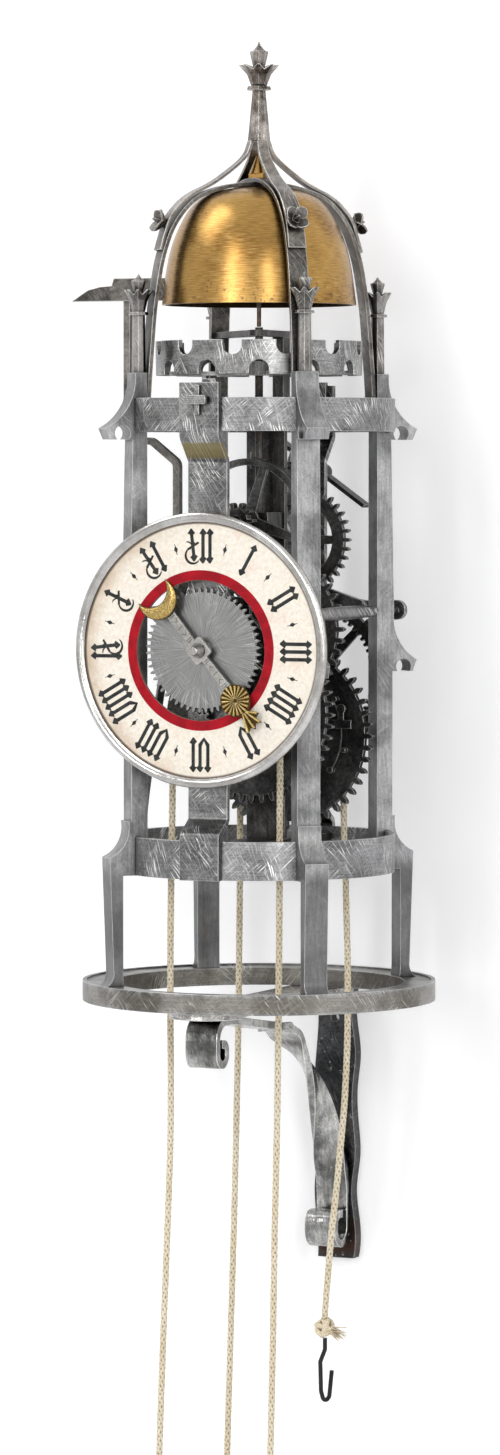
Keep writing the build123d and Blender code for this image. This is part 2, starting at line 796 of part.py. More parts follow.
def hour_wheel():
    bore = front_pivot_radius + shaft_clearance
    face = wheel(hour_teeth, hour_module, gap_down(hour_teeth)) - Circle(bore)
    body = slab(Pos(0, dial_height) * face, hour_wheel_place - hour_wheel_thickness / 2,
                hour_wheel_place + hour_wheel_thickness / 2)
    pipe = Pos(0, dial_height) * (Circle(5.5) - Circle(bore))
    body += slab(pipe, hour_wheel_place, strap_front - running_gap)
    shoulder = Pos(0, dial_height) * (Circle(4.4) - Circle(bore))
    body += slab(shoulder, hand_back, hour_wheel_place)
    tip = Pos(0, dial_height) * (Circle(hand_bore) - Circle(bore))
    return body + slab(tip, hand_front - 0.2, hand_back)


def wheel_studs():
    """The fixed studs that the hour wheel and the count wheel turn on, each with its nut."""
    nut = Pos(0, dial_height) * Circle(3.7)
    front = rod(0, dial_height, front_pivot_radius, hand_front - 3, strap_back)
    front += extrude(front_plane(hand_front - 0.5) * nut, amount=4.6, taper=24)
    rear = rod(0, count_height, front_pivot_radius, rear_front, count_back + 2.4)
    rear += slab(Pos(0, count_height) * RectangleRounded(7, 7, 1), count_back + running_gap,
                 count_back + 3.2)
    return [front, rear]


# ---- dial and hand ----
hand_back = dial_face - 1.5
hand_front = hand_back - hand_thickness
hand_bore = 3.2


def dial_plate():
    face = Pos(0, dial_height) * (Circle(dial_radius - 0.3) - Circle(dial_opening_radius))
    body = slab(face, dial_face, dial_face + dial_thickness)
    for side in (-1, 1):
        body += rod(0, dial_height + side * dial_foot_offset, 2.5, dial_face + dial_thickness / 2,
                    strap_front)
    return body


def dial_bezel():
    low, high = dial_face - bezel_height, dial_face
    section = outline((bezel_inner_radius, high), (bezel_inner_radius, low + 1),
                      (bezel_inner_radius + 1, low + 0.7), ((65.4, low - 0.1), (dial_radius, low + 1)),
                      (dial_radius, high))
    return Pos(0, 0, dial_height) * revolve(section, axis=Axis.Y)


def hand_place(sketch):
    return Pos(0, dial_height) * Rot(0, 0, 90 - hand_angle) * sketch


def hour_hand():
    """Two tapering bars and the boss that joins them on the hour wheel's pipe."""
    pointer = Polyline((0, -1.7), (sun_distance, -2.3), (sun_distance, 2.3), (0, 1.7), close=True)
    tail = Polyline((0, -1.7), (-moon_distance + 8, -2.4), (-moon_distance + 8, 2.4), (0, 1.7),
                    close=True)
    face = make_face(pointer) + make_face(tail) + RectangleRounded(10.5, 10.5, 1.6)
    return slab(hand_place(face - Circle(hand_bore)), hand_front, hand_back)


def hand_sun():
    """The sun at the pointer's end and its tassel."""
    face = Pos(sun_distance, 0) * Circle(sun_radius)
    fringe = outline((sun_distance + 5, -2.4), (sun_distance + 10, -2.8), (48.4, -5.4), (46.8, -2.2),
                     (49, -0.8), (47, 1), (48.4, 3.8), (44.8, 3), (44, 5.8), (41.4, 3.2),
                     (sun_distance + 5, 2.4))
    return slab(hand_place(face + fringe), hand_front - 1.2, hand_front)


def hand_moon():
    """The crescent at the tail's end, its horns pointing away from the centre."""
    face = Pos(-moon_distance, 0) * Circle(moon_radius)
    face -= Pos(-moon_distance - 6.5, 0) * Circle(moon_radius - 1)
    return slab(hand_place(face), hand_front - 1.2, hand_front)


# ---- strike train ----
strike_wheel_front = strike_wheel_place - wheel_thickness / 2
strike_wheel_back = strike_wheel_place + wheel_thickness / 2
strike_ratchet_front = strike_wheel_back + running_gap
strike_click_circle = 35.2
strike_click_turn = 23.0
strike_pulley_front = strike_pulley_place - pulley_half_width
count_front = count_wheel_place - 1.5
count_back = count_wheel_place + 3.1


def strike_great_arbor():
    shaft = arbor(strike_height, middle_back + running_gap, rear_front - running_gap, pivot_radius,
                  front_pivot_radius, middle_front, count_front - 0.2)
    leaves = pinion(count_leaves, count_module, 270)
    return shaft + leaves_on(leaves, strike_height, count_front - 0.4, count_wheel_place + 1.3)


def strike_great_wheel():
    body = on_arbor(great_web(strike_great_module), strike_height, strike_wheel_place,
                    wheel_thickness)
    body += slab(Pos(0, strike_height) * (Circle(7) - Circle(arbor_radius)), strike_wheel_front - 3,
                 strike_wheel_front)
    for k in range(lifting_pins):
        x, z = point_on(lifting_pin_circle, -12 + 360 * k / lifting_pins, strike_height)
        body += rod(x, z, 1.3, strike_wheel_front - lifting_pin_length, strike_wheel_front)
    x, z = point_on(strike_click_circle, strike_click_turn, strike_height)
    return body - rod(x, z, click_pivot_radius + shaft_clearance, 0, strike_wheel_back + 1)


def click_spring():
    """The thin bowed spring on the face of the strike great wheel, and the stud that holds it."""
    y = strike_wheel_front - 1.6
    foot = (26.1, strike_height - 17.2)
    bow = front_plane(y) * ThreePointArc((27.2, strike_height + 17.6), (31.9, strike_height + 1), foot)
    wire = sweep(Plane(origin=bow @ 0, z_dir=bow % 0) * Circle(0.55), path=bow)
    return wire + rod(*foot, 1.6, strike_wheel_front - 3, strike_wheel_front)


def strike_click():
    """A pawl behind the wheel, its pin through the web, and its tail with a tab in front."""
    pivot = point_on(strike_click_circle, strike_click_turn, strike_height)
    nose = point_on(strike_ratchet_radius + click_gap + 0.5, strike_click_turn - 22, strike_height)
    lever = pawl(pivot, nose, strike_ratchet_front, strike_pulley_front - running_gap)
    lever += rod(*pivot, click_pivot_radius, strike_wheel_front - 3.6, strike_ratchet_front)
    tail = Pos(*pivot) * Circle(2.4) + Pos(pivot[0], pivot[1] - 4.5) * Rectangle(3, 9)
    tail += Pos(30.2, strike_height + 6) * Rectangle(15.6, 4.4)
    return lever + slab(tail, strike_wheel_front - 3.6, strike_wheel_front - 2.4)


def strike_pulley():
    return pulley(strike_height, strike_pulley_place, strike_ratchet_radius, strike_ratchet_front,
                  strike_pulley_front + 0.5)


def strike_second_arbor():
    shaft = arbor(strike_second_height, middle_back + running_gap, rear_front - running_gap,
                  pivot_radius, pivot_radius, middle_front, rear_back)
    leaves = pinion(strike_second_leaves, strike_great_module, gap_down(strike_second_leaves))
    return shaft + leaves_on(leaves, strike_second_height, strike_wheel_place - 2.5,
                             strike_wheel_place + 2.5)


def strike_second_wheel():
    face = spoked(strike_second_teeth, strike_second_module, 6, 8, 6, 45)
    return on_arbor(face, strike_second_height, strike_second_place, wheel_thickness)


def strike_third_arbor():
    shaft = arbor(strike_third_height, middle_back + running_gap, rear_front - running_gap,
                  pivot_radius, pivot_radius, middle_front, rear_back)
    leaves = pinion(strike_third_leaves, strike_second_module, gap_down(strike_third_leaves))
    return shaft + leaves_on(leaves, strike_third_height, strike_second_place - 2.5,
                             strike_second_place + 2.5)


def strike_third_wheel():
    face = spoked(strike_third_teeth, strike_third_module, 6.5, 6, 4.5, 0)
    return on_arbor(face, strike_third_height, strike_third_place, wheel_thickness)


def fly_arbor():
    shaft = arbor(fly_height, middle_back + running_gap, rear_front - running_gap, pivot_radius,
                  pivot_radius, middle_front, fly_place + fly_half_width + 1)
    leaves = pinion(fly_leaves, strike_third_module, gap_down(fly_leaves))
    outside = fly_place + fly_half_width + running_gap
    shaft += rod(0, fly_height, 2.6, outside, outside + 1.2)
    return shaft + leaves_on(leaves, fly_height, strike_third_place - 2.5, strike_third_place + 2.5)


def fly():
    """The air brake: two vanes that stand edge-on to the arbor, on a hub that slips."""
    vanes = Rot(0, 0, -fly_droop) * Rectangle(2 * fly_length, fly_thickness)
    body = slab(Pos(0, fly_height) * vanes, fly_place - fly_half_width, fly_place + fly_half_width)
    body += rod(0, fly_height, 4.2, fly_place - fly_half_width, fly_place + fly_half_width)
    return body - rod(0, fly_height, pivot_radius + shaft_clearance, 60, 90)


def count_wheel():
    """The hour-counting ring: teeth inside, a locking notch for each hour outside."""
    teeth = toothed(count_teeth, count_module, 1.1, 0.6, 0.56, 0.4, 90)
    face = Circle(count_wheel_rim) - teeth
    blows = 0
    for hour in range(1, 13):
        blows += hour
        notch = Pos(count_wheel_rim, 0) * Rectangle(5, 3)
        face -= Rot(0, 0, 360 * blows / 78) * notch
    body = slab(Pos(0, count_height) * face, count_front, count_wheel_place + 1.6)
    web = Circle(count_wheel_rim - 3) - crossed(count_wheel_rim - 7, 6, 4, 4.5, 45)
    web -= Circle(front_pivot_radius + shaft_clearance)
    body += slab(Pos(0, count_height) * web, count_wheel_place + 1.6, count_back)
    hub = Pos(0, count_height) * (Circle(5) - Circle(front_pivot_radius + shaft_clearance))
    return body + slab(hub, rear_back + running_gap, count_wheel_place + 1.6)


# ---- side arbors: detent and hammer ----
def side_arbor(x, rear_end):
    """A spindle-shaped bar between two posts, with a pivot at each end."""
    body = outline((0, -38.2), (1.9, -38.2), (2.6, -36.6), ((3.4, 0), (2.6, 36.6)), (1.9, 38.2),
                   (0, 38.2))
    spindle = Pos(x, 0, side_arbor_height) * revolve(body, axis=Axis.Y)
    return spindle + rod(x, side_arbor_height, pivot_radius, -52, rear_end)


def detent():
    """The locking lever: its spindle, a wedge-shaped arm inside and a finger on the count wheel."""
    x, z = side_arbor_place, side_arbor_height
    shape = side_arbor(x, count_wheel_place + 0.5)
    wedge = Polyline((x + 1, z + 1), (x - 1, z + 5.4), (17, z + 14.4), (16, z + 9.6), (x - 3, z - 1),
                     close=True)
    shape += slab(make_face(wedge), 26.5, 29.5)
    tip_x, tip_z = point_on(count_wheel_rim + 0.9, 60, count_height)
    finger = Polyline((x, z - 2.4), (tip_x + 6, z - 0.4), (tip_x + 1.2, tip_z), (tip_x - 1.6, tip_z + 1.4),
                      (tip_x - 1.6, z + 6.0), (x, z + 2.4), close=True)
    face = make_face(finger) + Pos(x, z) * Circle(5)
    return shape + slab(face, count_front - 0.2, count_wheel_place + 1.3)


def hammer_head():
    side = outline((-53.8, hammer_head_bottom), (-43.8, 355.6), (-35.8, 357.3), (-29.4, 357.6),
                   (-28.2, 361.3), (-2.8, 361.3), ((-0.6, 358.6), (0, 355.6)),
                   ((-0.6, 352.6), (-2.8, hammer_head_bottom)))
    plan = Polyline((-53.8, -0.8), (-29.8, -4.5), (1.2, -4.5), (1.2, 4.5), (-29.8, 4.5), (-53.8, 0.8),
                    close=True)
    block = slab(side, -6, 6)
    return block & extrude(Plane((0, 0, 340)) * make_face(plan), amount=30)


def hammer():
    """The hammer: spindle, cranked arm round the upper hoop, head, and a tail for the pins."""
    x, z = -side_arbor_place, side_arbor_height
    shape = side_arbor(x, 52)
    path = bent_line(Plane.XZ, [(x, z), (x + 1.4, z + 34), (x + 1.4, 268.5), (9 - hoop_radius, 279.4),
                                (-hammer_rod_line, 279.8), (-hammer_rod_line, hammer_head_bottom + 2)], 4)
    shape += bar(path, (0, 1, 0), 4, 3.6)
    tail = Polyline((x - 2.6, z), (x + 2.6, z), (x + 15.4, z - 33), (x + 12.4, z - 34),
                    close=True)
    shape += slab(make_face(tail), 26.5, 29.5)
    return shape + Pos(-bell_radius - hammer_rest_gap, 0, 0) * hammer_head()


def hammer_spring():
    """A bowed leaf from the lower hoop up to the hammer's spindle."""
    width = 8.0
    thickness = 1.2
    foot = math.sqrt((hoop_radius - hoop_thickness) ** 2 - (width / 2) ** 2) - thickness / 2
    top = side_arbor_place + 3.4 + running_gap + thickness / 2
    points = [(-foot, 66), (-foot, 90), (-60.5, 120), (-55, 150), (-top - 0.4, side_arbor_height - 18),
              (-top, side_arbor_height + 3)]
    return bar(smooth_line(Plane.XZ, points), (0, 1, 0), width, thickness)


# ---- wall bracket ----
plate_front = wall_gap - plate_thickness


def wall_plate():
    half = plate_width / 2
    steps = 8
    length = plate_top - plate_bottom
    right = [(half + plate_wave * math.sin(2.4 * k), plate_bottom + length * k / steps)
             for k in range(steps + 1)]
    left = [(-half + plate_wave * math.sin(1.9 * k + 1), z) for k, (_, z) in enumerate(right)]
    edges = [Spline(*right), Line(right[-1], left[-1]), Spline(*reversed(left)),
             Line(left[0], right[0])]
    body = slab(make_face(Curve() + edges), plate_front, wall_gap)
    for side in (-1, 1):
        body -= rod(0, side * screw_spacing / 2 - mount_drop, screw_hole_radius, 80, wall_gap + 5)
    return body


def shelf_bar():
    half = shelf_width / 2
    leaf = shelf_leaf_width / 2
    face = outline((plate_width / 2, plate_front), (half, plate_front - 22), (half, -42),
                   ((half + 1.2, -52), (leaf, -62)), ((leaf - 4, -73), (0, -shelf_reach)),
                   ((-leaf + 4, -73), (-leaf, -62)), ((-half - 1.2, -52), (-half, -42)),
                   (-half, plate_front - 22), (-plate_width / 2, plate_front))
    return extrude(Plane((0, 0, -shelf_thickness)) * face, amount=shelf_thickness)


def brace():
    """The forged strut: a scroll at the wall, a half-turn twist, and a scroll under the shelf."""
    rise = plate_front - brace_thickness / 2
    level = -shelf_thickness - brace_thickness / 2
    foot = (rise, -110)
    head = (17, -15.5)
    slope = (-67, head[1] - level)
    lower = FilletPolyline(foot, (rise, -134), (rise - 15.4, -134), (rise - 15.4, -118.6),
                           (rise - 7, -118.6), radius=[7.6, 7.5, 4.6])
    upper = FilletPolyline(head, (head[0] + slope[0], level), (-66.5, level), (-66.5, -27),
                           (-56, -27), (-56, -17), (-61.8, -17), radius=[20, 9, 5, 4.8, 3.4])
    shape = bar(side_plane * lower, (1, 0, 0), brace_width, brace_thickness)
    shape += bar(side_plane * upper, (1, 0, 0), brace_width, brace_thickness)
    curve = side_plane * Spline(foot, (88.9, -92), (83.2, -75), (74.5, -58.5), (61, -43), (38, -25),
                                head, tangents=[(0, 1), (slope[0], -slope[1])])
    stations = 20
    sections = []
    for k in range(stations + 1):
        along = curve % (k / stations)
        share = min(max((k / stations - twist_start) / (twist_end - twist_start), 0), 1)
        turned = Vector(1, 0, 0).rotate(Axis((0, 0, 0), tuple(along)), 180 * share)
        narrowing = (brace_width - brace_twist_width) * math.sin(math.pi * share)
        section = Plane(origin=curve @ (k / stations), x_dir=turned, z_dir=along)
        sections.append(section * Rectangle(brace_width - narrowing, brace_thickness))
    return shape + loft(sections)


# ---- cords ----
cord_radius = cord_diameter / 2
knot_height = 9.5
hook_wire_radius = 1.1
going_left = [(-37.1, -228), (-34.9, -170), (-32.3, -112), (-30.2, -58), (-30.8, 0), (-30.4, 54),
              (-29.3, 108)]
going_right = [(29.2, 109), (28.9, 55), (28.4, 0), (27.7, -57), (26.2, -113), (25.4, -169),
               (23.9, -224.5)]
strike_left = [(-36.1, -241), (-34.3, -184), (-32.3, -127), (-30.8, -71), (-29.6, -15), (-28.9, 41),
               (-28.6, 96.5)]
strike_right = [(28.6, 98), (30.4, 48), (31.6, 2), (30.6, -45), (26.0, -92), (20.9, -135),
                (18.6, -166)]


def wrap(height):
    """The corners of a cord's half turn over its pulley, from left to right."""
    reach = cord_wrap_radius / math.cos(math.radians(22.5))
    return [point_on(reach, turn, height) for turn in (157.5, 112.5, 67.5, 22.5)]


def cord(name, y, left, right, height):
    points = left + wrap(height) + right
    path = smooth_line(front_plane(y), points)
    tube = sweep(Plane(origin=path @ 0, z_dir=path % 0) * Circle(cord_radius), path=path)
    expected = math.pi * cord_radius ** 2 * path.length
    bends = [round(radius) for radius in bend_radii(points)]
    print(name, "length", round(path.length, 1), "bend radii", bends)
    print(name, "volume", round(tube.volume), "section times length", round(expected))
    return tube


def knot():
    """A tight knot with a short frayed end, its top at the origin."""
    side = [(0, 0), (2.2, 0), (4.0, -1.7), (4.7, -4), (4.2, -6.7), (2.4, -knot_height),
            (0, -knot_height)]
    lump = revolve(Plane.XZ * make_face(Polyline(*side, close=True)), axis=Axis.Z)
    return lump + Pos(5.2, 0, -6.2) * Rot(0, 100, 0) * Cone(1.6, 2.9, 6.4)


def hook():
    """A long open hook of round wire, hanging from its knot."""
    points = [(0.2, -knot_height - 0.1), (0.2, -15.5), (-2.4, -22), (-2.0, -37), (-0.2, -43),
              (2.6, -39.5), (4.0, -26)]
    path = Plane.XZ * FilletPolyline(*points, radius=[2, 2.6, 4, 1.5, 2])
    return sweep(Plane(origin=path @ 0, z_dir=path % 0) * Circle(hook_wire_radius), path=path)


def cord_ends():
    gap = 0.2
    ends = [(going_left[0], going_pulley_place), (going_right[-1], going_pulley_place),
            (strike_left[0], strike_pulley_place), (strike_right[-1], strike_pulley_place)]
    return [Pos(x, y, z - gap) for (x, z), y in ends]


# ---- write every piece ----
for name, angle in post_angles.items():
    save(f"post_{name}", post(angle))
save("post_finials", *[pinnacle(angle) for angle in post_angles.values()])
save("upper_hoop", ring(hoop_radius, hoop_radius - hoop_thickness, upper_hoop_bottom,
                        upper_hoop_bottom + upper_hoop_height))
save("lower_hoop", ring(hoop_radius, hoop_radius - hoop_thickness, lower_hoop_bottom,
                        lower_hoop_bottom + lower_hoop_height))
save("base_ring", base_ring())
save("front_strap", front_strap())
save("middle_strap", middle_strap())
save("rear_strap", rear_strap())
save("cross_bars", *cross_bars())
save("strap_keys", strap_key(-1), strap_key(1), strap_block(-1), strap_block(1))
save("dome_arches", arch(45, arch_top - arch_thickness), arch(135, arch_top))
save("ogee_straps", *[ogee(angle) for angle in post_angles.values()])
save("rosettes", *[rosette(angle) for angle in post_angles.values()])
save("spire", spire())
save("spire_finial", spire_finial())
save("bell", bell())
save("bell_stud", bell_stud())
save("bell_nut", bell_nut())
save("verge", verge())
save("balance_ring", balance_ring())
save("balance_cock", balance_cock())
save("potences", verge_potence(), crown_potence())
save("going_great_arbor", going_great_arbor())
save("going_great_wheel", going_great_wheel())
save("going_pulley", going_pulley())
save("going_click", going_click())
save("going_second_arbor", going_second_arbor())
save("going_second_wheel", going_second_wheel())
save("crown_arbor", crown_arbor())
save("crown_wheel", crown_wheel())
save("hour_wheel", hour_wheel())
save("wheel_studs", *wheel_studs())
save("dial_plate", dial_plate())
save("dial_bezel", dial_bezel())
save("hour_hand", hour_hand())
save("hand_ornaments", hand_sun(), hand_moon())
save("strike_great_arbor", strike_great_arbor())
save("strike_great_wheel", strike_great_wheel(), click_spring())
save("strike_click", strike_click())
save("strike_pulley", strike_pulley())
save("strike_second_arbor", strike_second_arbor())
save("strike_second_wheel", strike_second_wheel())
save("strike_third_arbor", strike_third_arbor())
save("strike_third_wheel", strike_third_wheel())
save("fly_arbor", fly_arbor())
save("fly", fly())
save("count_wheel", count_wheel())
save("detent", detent())
save("hammer", hammer())
save("hammer_spring", hammer_spring())
save("wall_plate", wall_plate())
save("shelf_bar", shelf_bar())
save("brace", brace())
save("cord_going", cord("cord_going", going_pulley_place, going_left, going_right, going_height))
save("cord_strike", cord("cord_strike", strike_pulley_place, strike_left, strike_right,
                         strike_height))
save("cord_knots", *[end * knot() for end in cord_ends()])
save("cord_hooks", *[end * hook() for end in cord_ends()])
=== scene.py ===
import json
import math

import bpy
from mathutils import Matrix, Vector

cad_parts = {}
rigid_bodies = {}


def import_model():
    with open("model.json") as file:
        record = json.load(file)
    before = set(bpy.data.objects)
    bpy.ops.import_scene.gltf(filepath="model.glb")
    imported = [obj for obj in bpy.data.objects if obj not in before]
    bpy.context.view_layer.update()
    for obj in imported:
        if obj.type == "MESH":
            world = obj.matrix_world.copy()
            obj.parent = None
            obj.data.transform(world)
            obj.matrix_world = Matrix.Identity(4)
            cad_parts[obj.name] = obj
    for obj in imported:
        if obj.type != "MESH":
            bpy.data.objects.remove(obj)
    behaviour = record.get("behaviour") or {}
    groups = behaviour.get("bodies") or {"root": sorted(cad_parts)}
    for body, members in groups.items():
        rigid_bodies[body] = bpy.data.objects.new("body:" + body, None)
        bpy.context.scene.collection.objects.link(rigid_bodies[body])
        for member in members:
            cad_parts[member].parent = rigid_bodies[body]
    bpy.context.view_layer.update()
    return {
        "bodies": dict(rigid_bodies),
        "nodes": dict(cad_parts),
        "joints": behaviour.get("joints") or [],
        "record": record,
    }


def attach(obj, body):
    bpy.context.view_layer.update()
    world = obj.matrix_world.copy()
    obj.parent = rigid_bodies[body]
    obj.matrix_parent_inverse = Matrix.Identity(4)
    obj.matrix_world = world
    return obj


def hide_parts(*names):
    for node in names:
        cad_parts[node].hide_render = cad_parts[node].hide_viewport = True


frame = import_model()
nodes = frame["nodes"]
axisY = -0.102  # the clock's own axis stands this far in front of the wall
baseZ = 0.076  # the base ring's underside
print("frame loaded:", len(nodes), "nodes")


# millimetres from the clock's axis and base ring, as metres in the part's frame
def atClock(x, y, z):
    return Vector((x / 1000, axisY + y / 1000, baseZ + z / 1000))


def newObject(name, data):
    obj = bpy.data.objects.new(name, data)
    bpy.context.scene.collection.objects.link(obj)
    return obj


# turns a camera or a lamp to look one way
def aim(obj, way):
    obj.rotation_mode = "QUATERNION"
    obj.rotation_quaternion = way.to_track_quat("-Z", "Y")


# camera
cameraView = {"distance": 2.76, "azimuth": 24.5, "height": 0.3434, "lens": 136.58,
              "aim": (-0.00163, -0.04755)}


def makeCamera(spec):
    turn = math.radians(spec["azimuth"])
    back = Vector((math.sin(turn), -math.cos(turn), 0))
    right = Vector((math.cos(turn), math.sin(turn), 0))
    look = -back + right * spec["aim"][0] + Vector((0, 0, 1)) * spec["aim"][1]
    data = bpy.data.cameras.new("camera")
    data.lens = spec["lens"]
    data.clip_start = 0.05
    data.clip_end = 60
    camera = newObject("camera", data)
    place = Vector((0, axisY, 0)) + back * spec["distance"]
    camera.location = (place.x, place.y, spec["height"])
    aim(camera, look)
    bpy.context.scene.camera = camera


makeCamera(cameraView)


# pieces and meshes
def addObject(name, mesh, body, material):
    obj = newObject(name, mesh)
    mesh.materials.append(material)
    if body:
        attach(obj, body)
    return obj


def meshFrom(name, verts, faces, smooth=False):
    mesh = bpy.data.meshes.new(name)
    mesh.from_pydata(verts, [], faces)
    mesh.validate()
    mesh.update()
    for poly in mesh.polygons:
        poly.use_smooth = smooth
    return mesh


# a tube through loops of as many points each, closed at both ends
def closedTube(verts, faces, loops):
    base, n, last = len(verts), len(loops[0]), len(loops) - 1
    for loop in loops:
        verts += loop
    for k in range(last):
        for j in range(n):
            a, b = base + k * n + j, base + k * n + (j + 1) % n
            faces.append((a, b, b + n, a + n))
    faces.append(tuple(base + j for j in reversed(range(n))))
    faces.append(tuple(base + last * n + j for j in range(n)))


def paint(name, material):
    slots = nodes[name].data.materials
    slots.clear()
    slots.append(material)


# shader nodes
ownTrees = []


def startTree(owner):
    owner.use_nodes = True
    owner.node_tree.nodes.clear()
    ownTrees.append(owner.node_tree)
    return owner.node_tree


def node(tree, kind, **values):
    made = tree.nodes.new(kind)
    for key, value in values.items():
        setattr(made, key, value)
    return made


# links a socket, or sets the plain value on it
def feed(target, source):
    if isinstance(source, bpy.types.NodeSocket):
        target.id_data.links.new(source, target)
    elif target.type == "RGBA":
        target.default_value = (*source, 1.0)
    else:
        target.default_value = source


def feedAll(inputs, sources):
    for label, source in sources.items():
        feed(inputs[label], source)


# a node in the tree of its sources, with its first inputs filled in order
def fed(kind, *sources, **values):
    tree = next(source.id_data for source in sources if isinstance(source, bpy.types.NodeSocket))
    made = node(tree, kind, **values)
    for target, source in zip(made.inputs, sources):
        feed(target, source)
    return made.outputs


def calc(operation, a, b=0.0, clamp=False):
    return fed("ShaderNodeMath", a, b, operation=operation, use_clamp=clamp)[0]


def times(a, b, clamp=False):
    return calc("MULTIPLY", a, b, clamp)


# a value with another one, or a share of it, on top
def plus(base, extra, share=None, clamp=False):
    return calc("ADD", base, extra if share is None else times(extra, share), clamp)


def minus(a, b):
    return calc("SUBTRACT", a, b)


def reachOf(across, up):
    return calc("SQRT", plus(times(across, across), times(up, up)))


def splitXYZ(vector):
    return fed("ShaderNodeSeparateXYZ", vector)


def joinXY(x, y):
    return fed("ShaderNodeCombineXYZ", x, y)[0]


def dot(a, b):
    return fed("ShaderNodeVectorMath", a, b, operation="DOT_PRODUCT")["Value"]


def scaled(vector, factor):
    made = fed("ShaderNodeVectorMath", vector, operation="SCALE")[0]
    feed(made.node.inputs["Scale"], factor)
    return made


def remap(value, low, high, toLow=0.0, toHigh=1.0):
    ends = (low, high, toLow, toHigh)
    return fed("ShaderNodeMapRange", value, *ends, interpolation_type="SMOOTHSTEP")[0]


def blend(share, a, b):
    mixed = fed("ShaderNodeMix", share, data_type="RGBA")[2]
    feed(mixed.node.inputs[6], a)
    feed(mixed.node.inputs[7], b)
    return mixed


def noiseOf(vector, scale, detail=3.0, rough=0.55):
    made = fed("ShaderNodeTexNoise", vector)["Fac"]
    feedAll(made.node.inputs, {"Scale": scale, "Detail": detail, "Roughness": rough})
    return made


def stretched(vector, scale, turn=0.0, shift=(0, 0, 0)):
    return fed("ShaderNodeMapping", vector, shift, (0, 0, math.radians(turn)), scale)[0]


def bumpOf(height, strength, distance=0.0001):
    made = node(height.id_data, "ShaderNodeBump")
    feedAll(made.inputs, {"Strength": strength, "Distance": distance, "Height": height})
    return made.outputs["Normal"]


# a group whose inputs are vectors where no number is given
def newGroup(name, takes, gives):
    group = bpy.data.node_groups.new(name, "ShaderNodeTree")
    ownTrees.append(group)
    for label, value in takes.items():
        kind = "NodeSocketVector" if value is None else "NodeSocketFloat"
        socket = group.interface.new_socket(label, in_out="INPUT", socket_type=kind)
        if value is not None:
            socket.default_value = value
    for label, kind in gives.items():
        group.interface.new_socket(label, in_out="OUTPUT", socket_type="NodeSocket" + kind)
    return group, node(group, "NodeGroupInput").outputs, node(group, "NodeGroupOutput").inputs


def useGroup(tree, group, **values):
    made = node(tree, "ShaderNodeGroup", node_tree=group)
    feedAll(made.inputs, values)
    return made.outputs


# flat coordinates for brushing and scratches: round the clock's axis, across its front, or across the posts
flatLook = {"radius": 0.07, "lean": 0.7, "slant": (0.94, 0.34)}


def flatOf(place, plane):
    x, y, z = splitXYZ(place)
    if plane == "round":
        around = calc("ARCTAN2", x, minus(axisY, y))
        return joinXY(times(around, flatLook["radius"]), z)
    if plane == "front":
        return joinXY(x, plus(z, y, flatLook["lean"]))
    across, deep = flatLook["slant"]
    return joinXY(plus(times(x, across), y, deep), z)


# fine bright scratches in patches, slightly bowed, as a file leaves them
# each way has its turn in degrees, the shift of its patches and the level where they start
fileLook = {"ways": ((52, 0.0, 0.52), (-40, 3.1, 0.55), (68, 6.7, 0.54)), "line": (85, 1700, 1),
            "thin": (0.58, 0.66), "patch": (48, 48, 1), "bow": 0.006, "bowScale": 40.0}


def makeFileMarks(look):
    group, ins, outs = newGroup("fileMarks", {"Flat": None, "Scale": 1.0},
                                {"Lines": "Float", "Faint": "Float"})
    sized = scaled(ins["Flat"], ins["Scale"])
    bow = times(noiseOf(sized, look["bowScale"], 1.0, 0.5), look["bow"])
    bowed = fed("ShaderNodeVectorMath", sized, joinXY(bow, bow), operation="ADD")[0]
    total, faint = 0.0, 0.0
    for turn, patch, low in look["ways"]:
        turned = fed("ShaderNodeVectorRotate", bowed, rotation_type="Z_AXIS")[0]
        feed(turned.node.inputs["Angle"], math.radians(turn))
        thin = remap(noiseOf(stretched(turned, look["line"]), 1.0, 1.0, 0.5), *look["thin"])
        apart = stretched(sized, look["patch"], shift=(patch, patch * 2, patch))
        cloud = noiseOf(apart, 1.0, 2.0, 0.5)
        total = calc("MAXIMUM", total, times(thin, remap(cloud, low, low + 0.1)))
        faint = calc("MAXIMUM", faint, thin)
    feedAll(outs, {"Lines": total, "Faint": faint})
    return group


# slow patches, fine speckle and small pits of worked iron
grainLook = {"patches": 42.0, "speckle": 900.0, "pits": 380.0}


def makeForgeGrain(look):
    group, ins, outs = newGroup("forgeGrain", {"Vector": None, "Scale": 1.0},
                                {"Patches": "Float", "Speckle": "Float", "Pits": "Float"})
    sized = scaled(ins["Vector"], ins["Scale"])
    feedAll(outs, {"Patches": remap(noiseOf(sized, look["patches"], 3.0, 0.6), 0.34, 0.66),
                   "Speckle": noiseOf(sized, look["speckle"], 3.0, 0.65),
                   "Pits": remap(noiseOf(sized, look["pits"], 2.0, 0.5), 0.66, 0.76)})
    return group


# corners that handling has rubbed bright, and painted shade that darkens creases and recesses
edgeLook = {"bend": (0.985, 0.84), "shade": (0.86, 0.30)}


def makeWornEdgeAndShade(look):
    group, ins, outs = newGroup("wornEdgeAndShade", {"Radius": 0.0005, "Reach": 0.007, "Normal": None},
                                {"Edge": "Float", "PaintedShade": "Float", "Normal": "Vector"})
    rounded = fed("ShaderNodeBevel", ins["Radius"], ins["Normal"], samples=4)[0]
    flat = node(group, "ShaderNodeNewGeometry").outputs["Normal"]
    bend = dot(rounded, flat)
    # painted shade: occlusion makes creases, recesses and gaps between parts darker
    hidden = node(group, "ShaderNodeAmbientOcclusion", samples=6)
    feed(hidden.inputs["Distance"], ins["Reach"])
    creaseShade = remap(hidden.outputs["AO"], *look["shade"])
    feedAll(outs, {"Edge": remap(bend, *look["bend"]), "PaintedShade": creaseShade, "Normal": rounded})
    return group


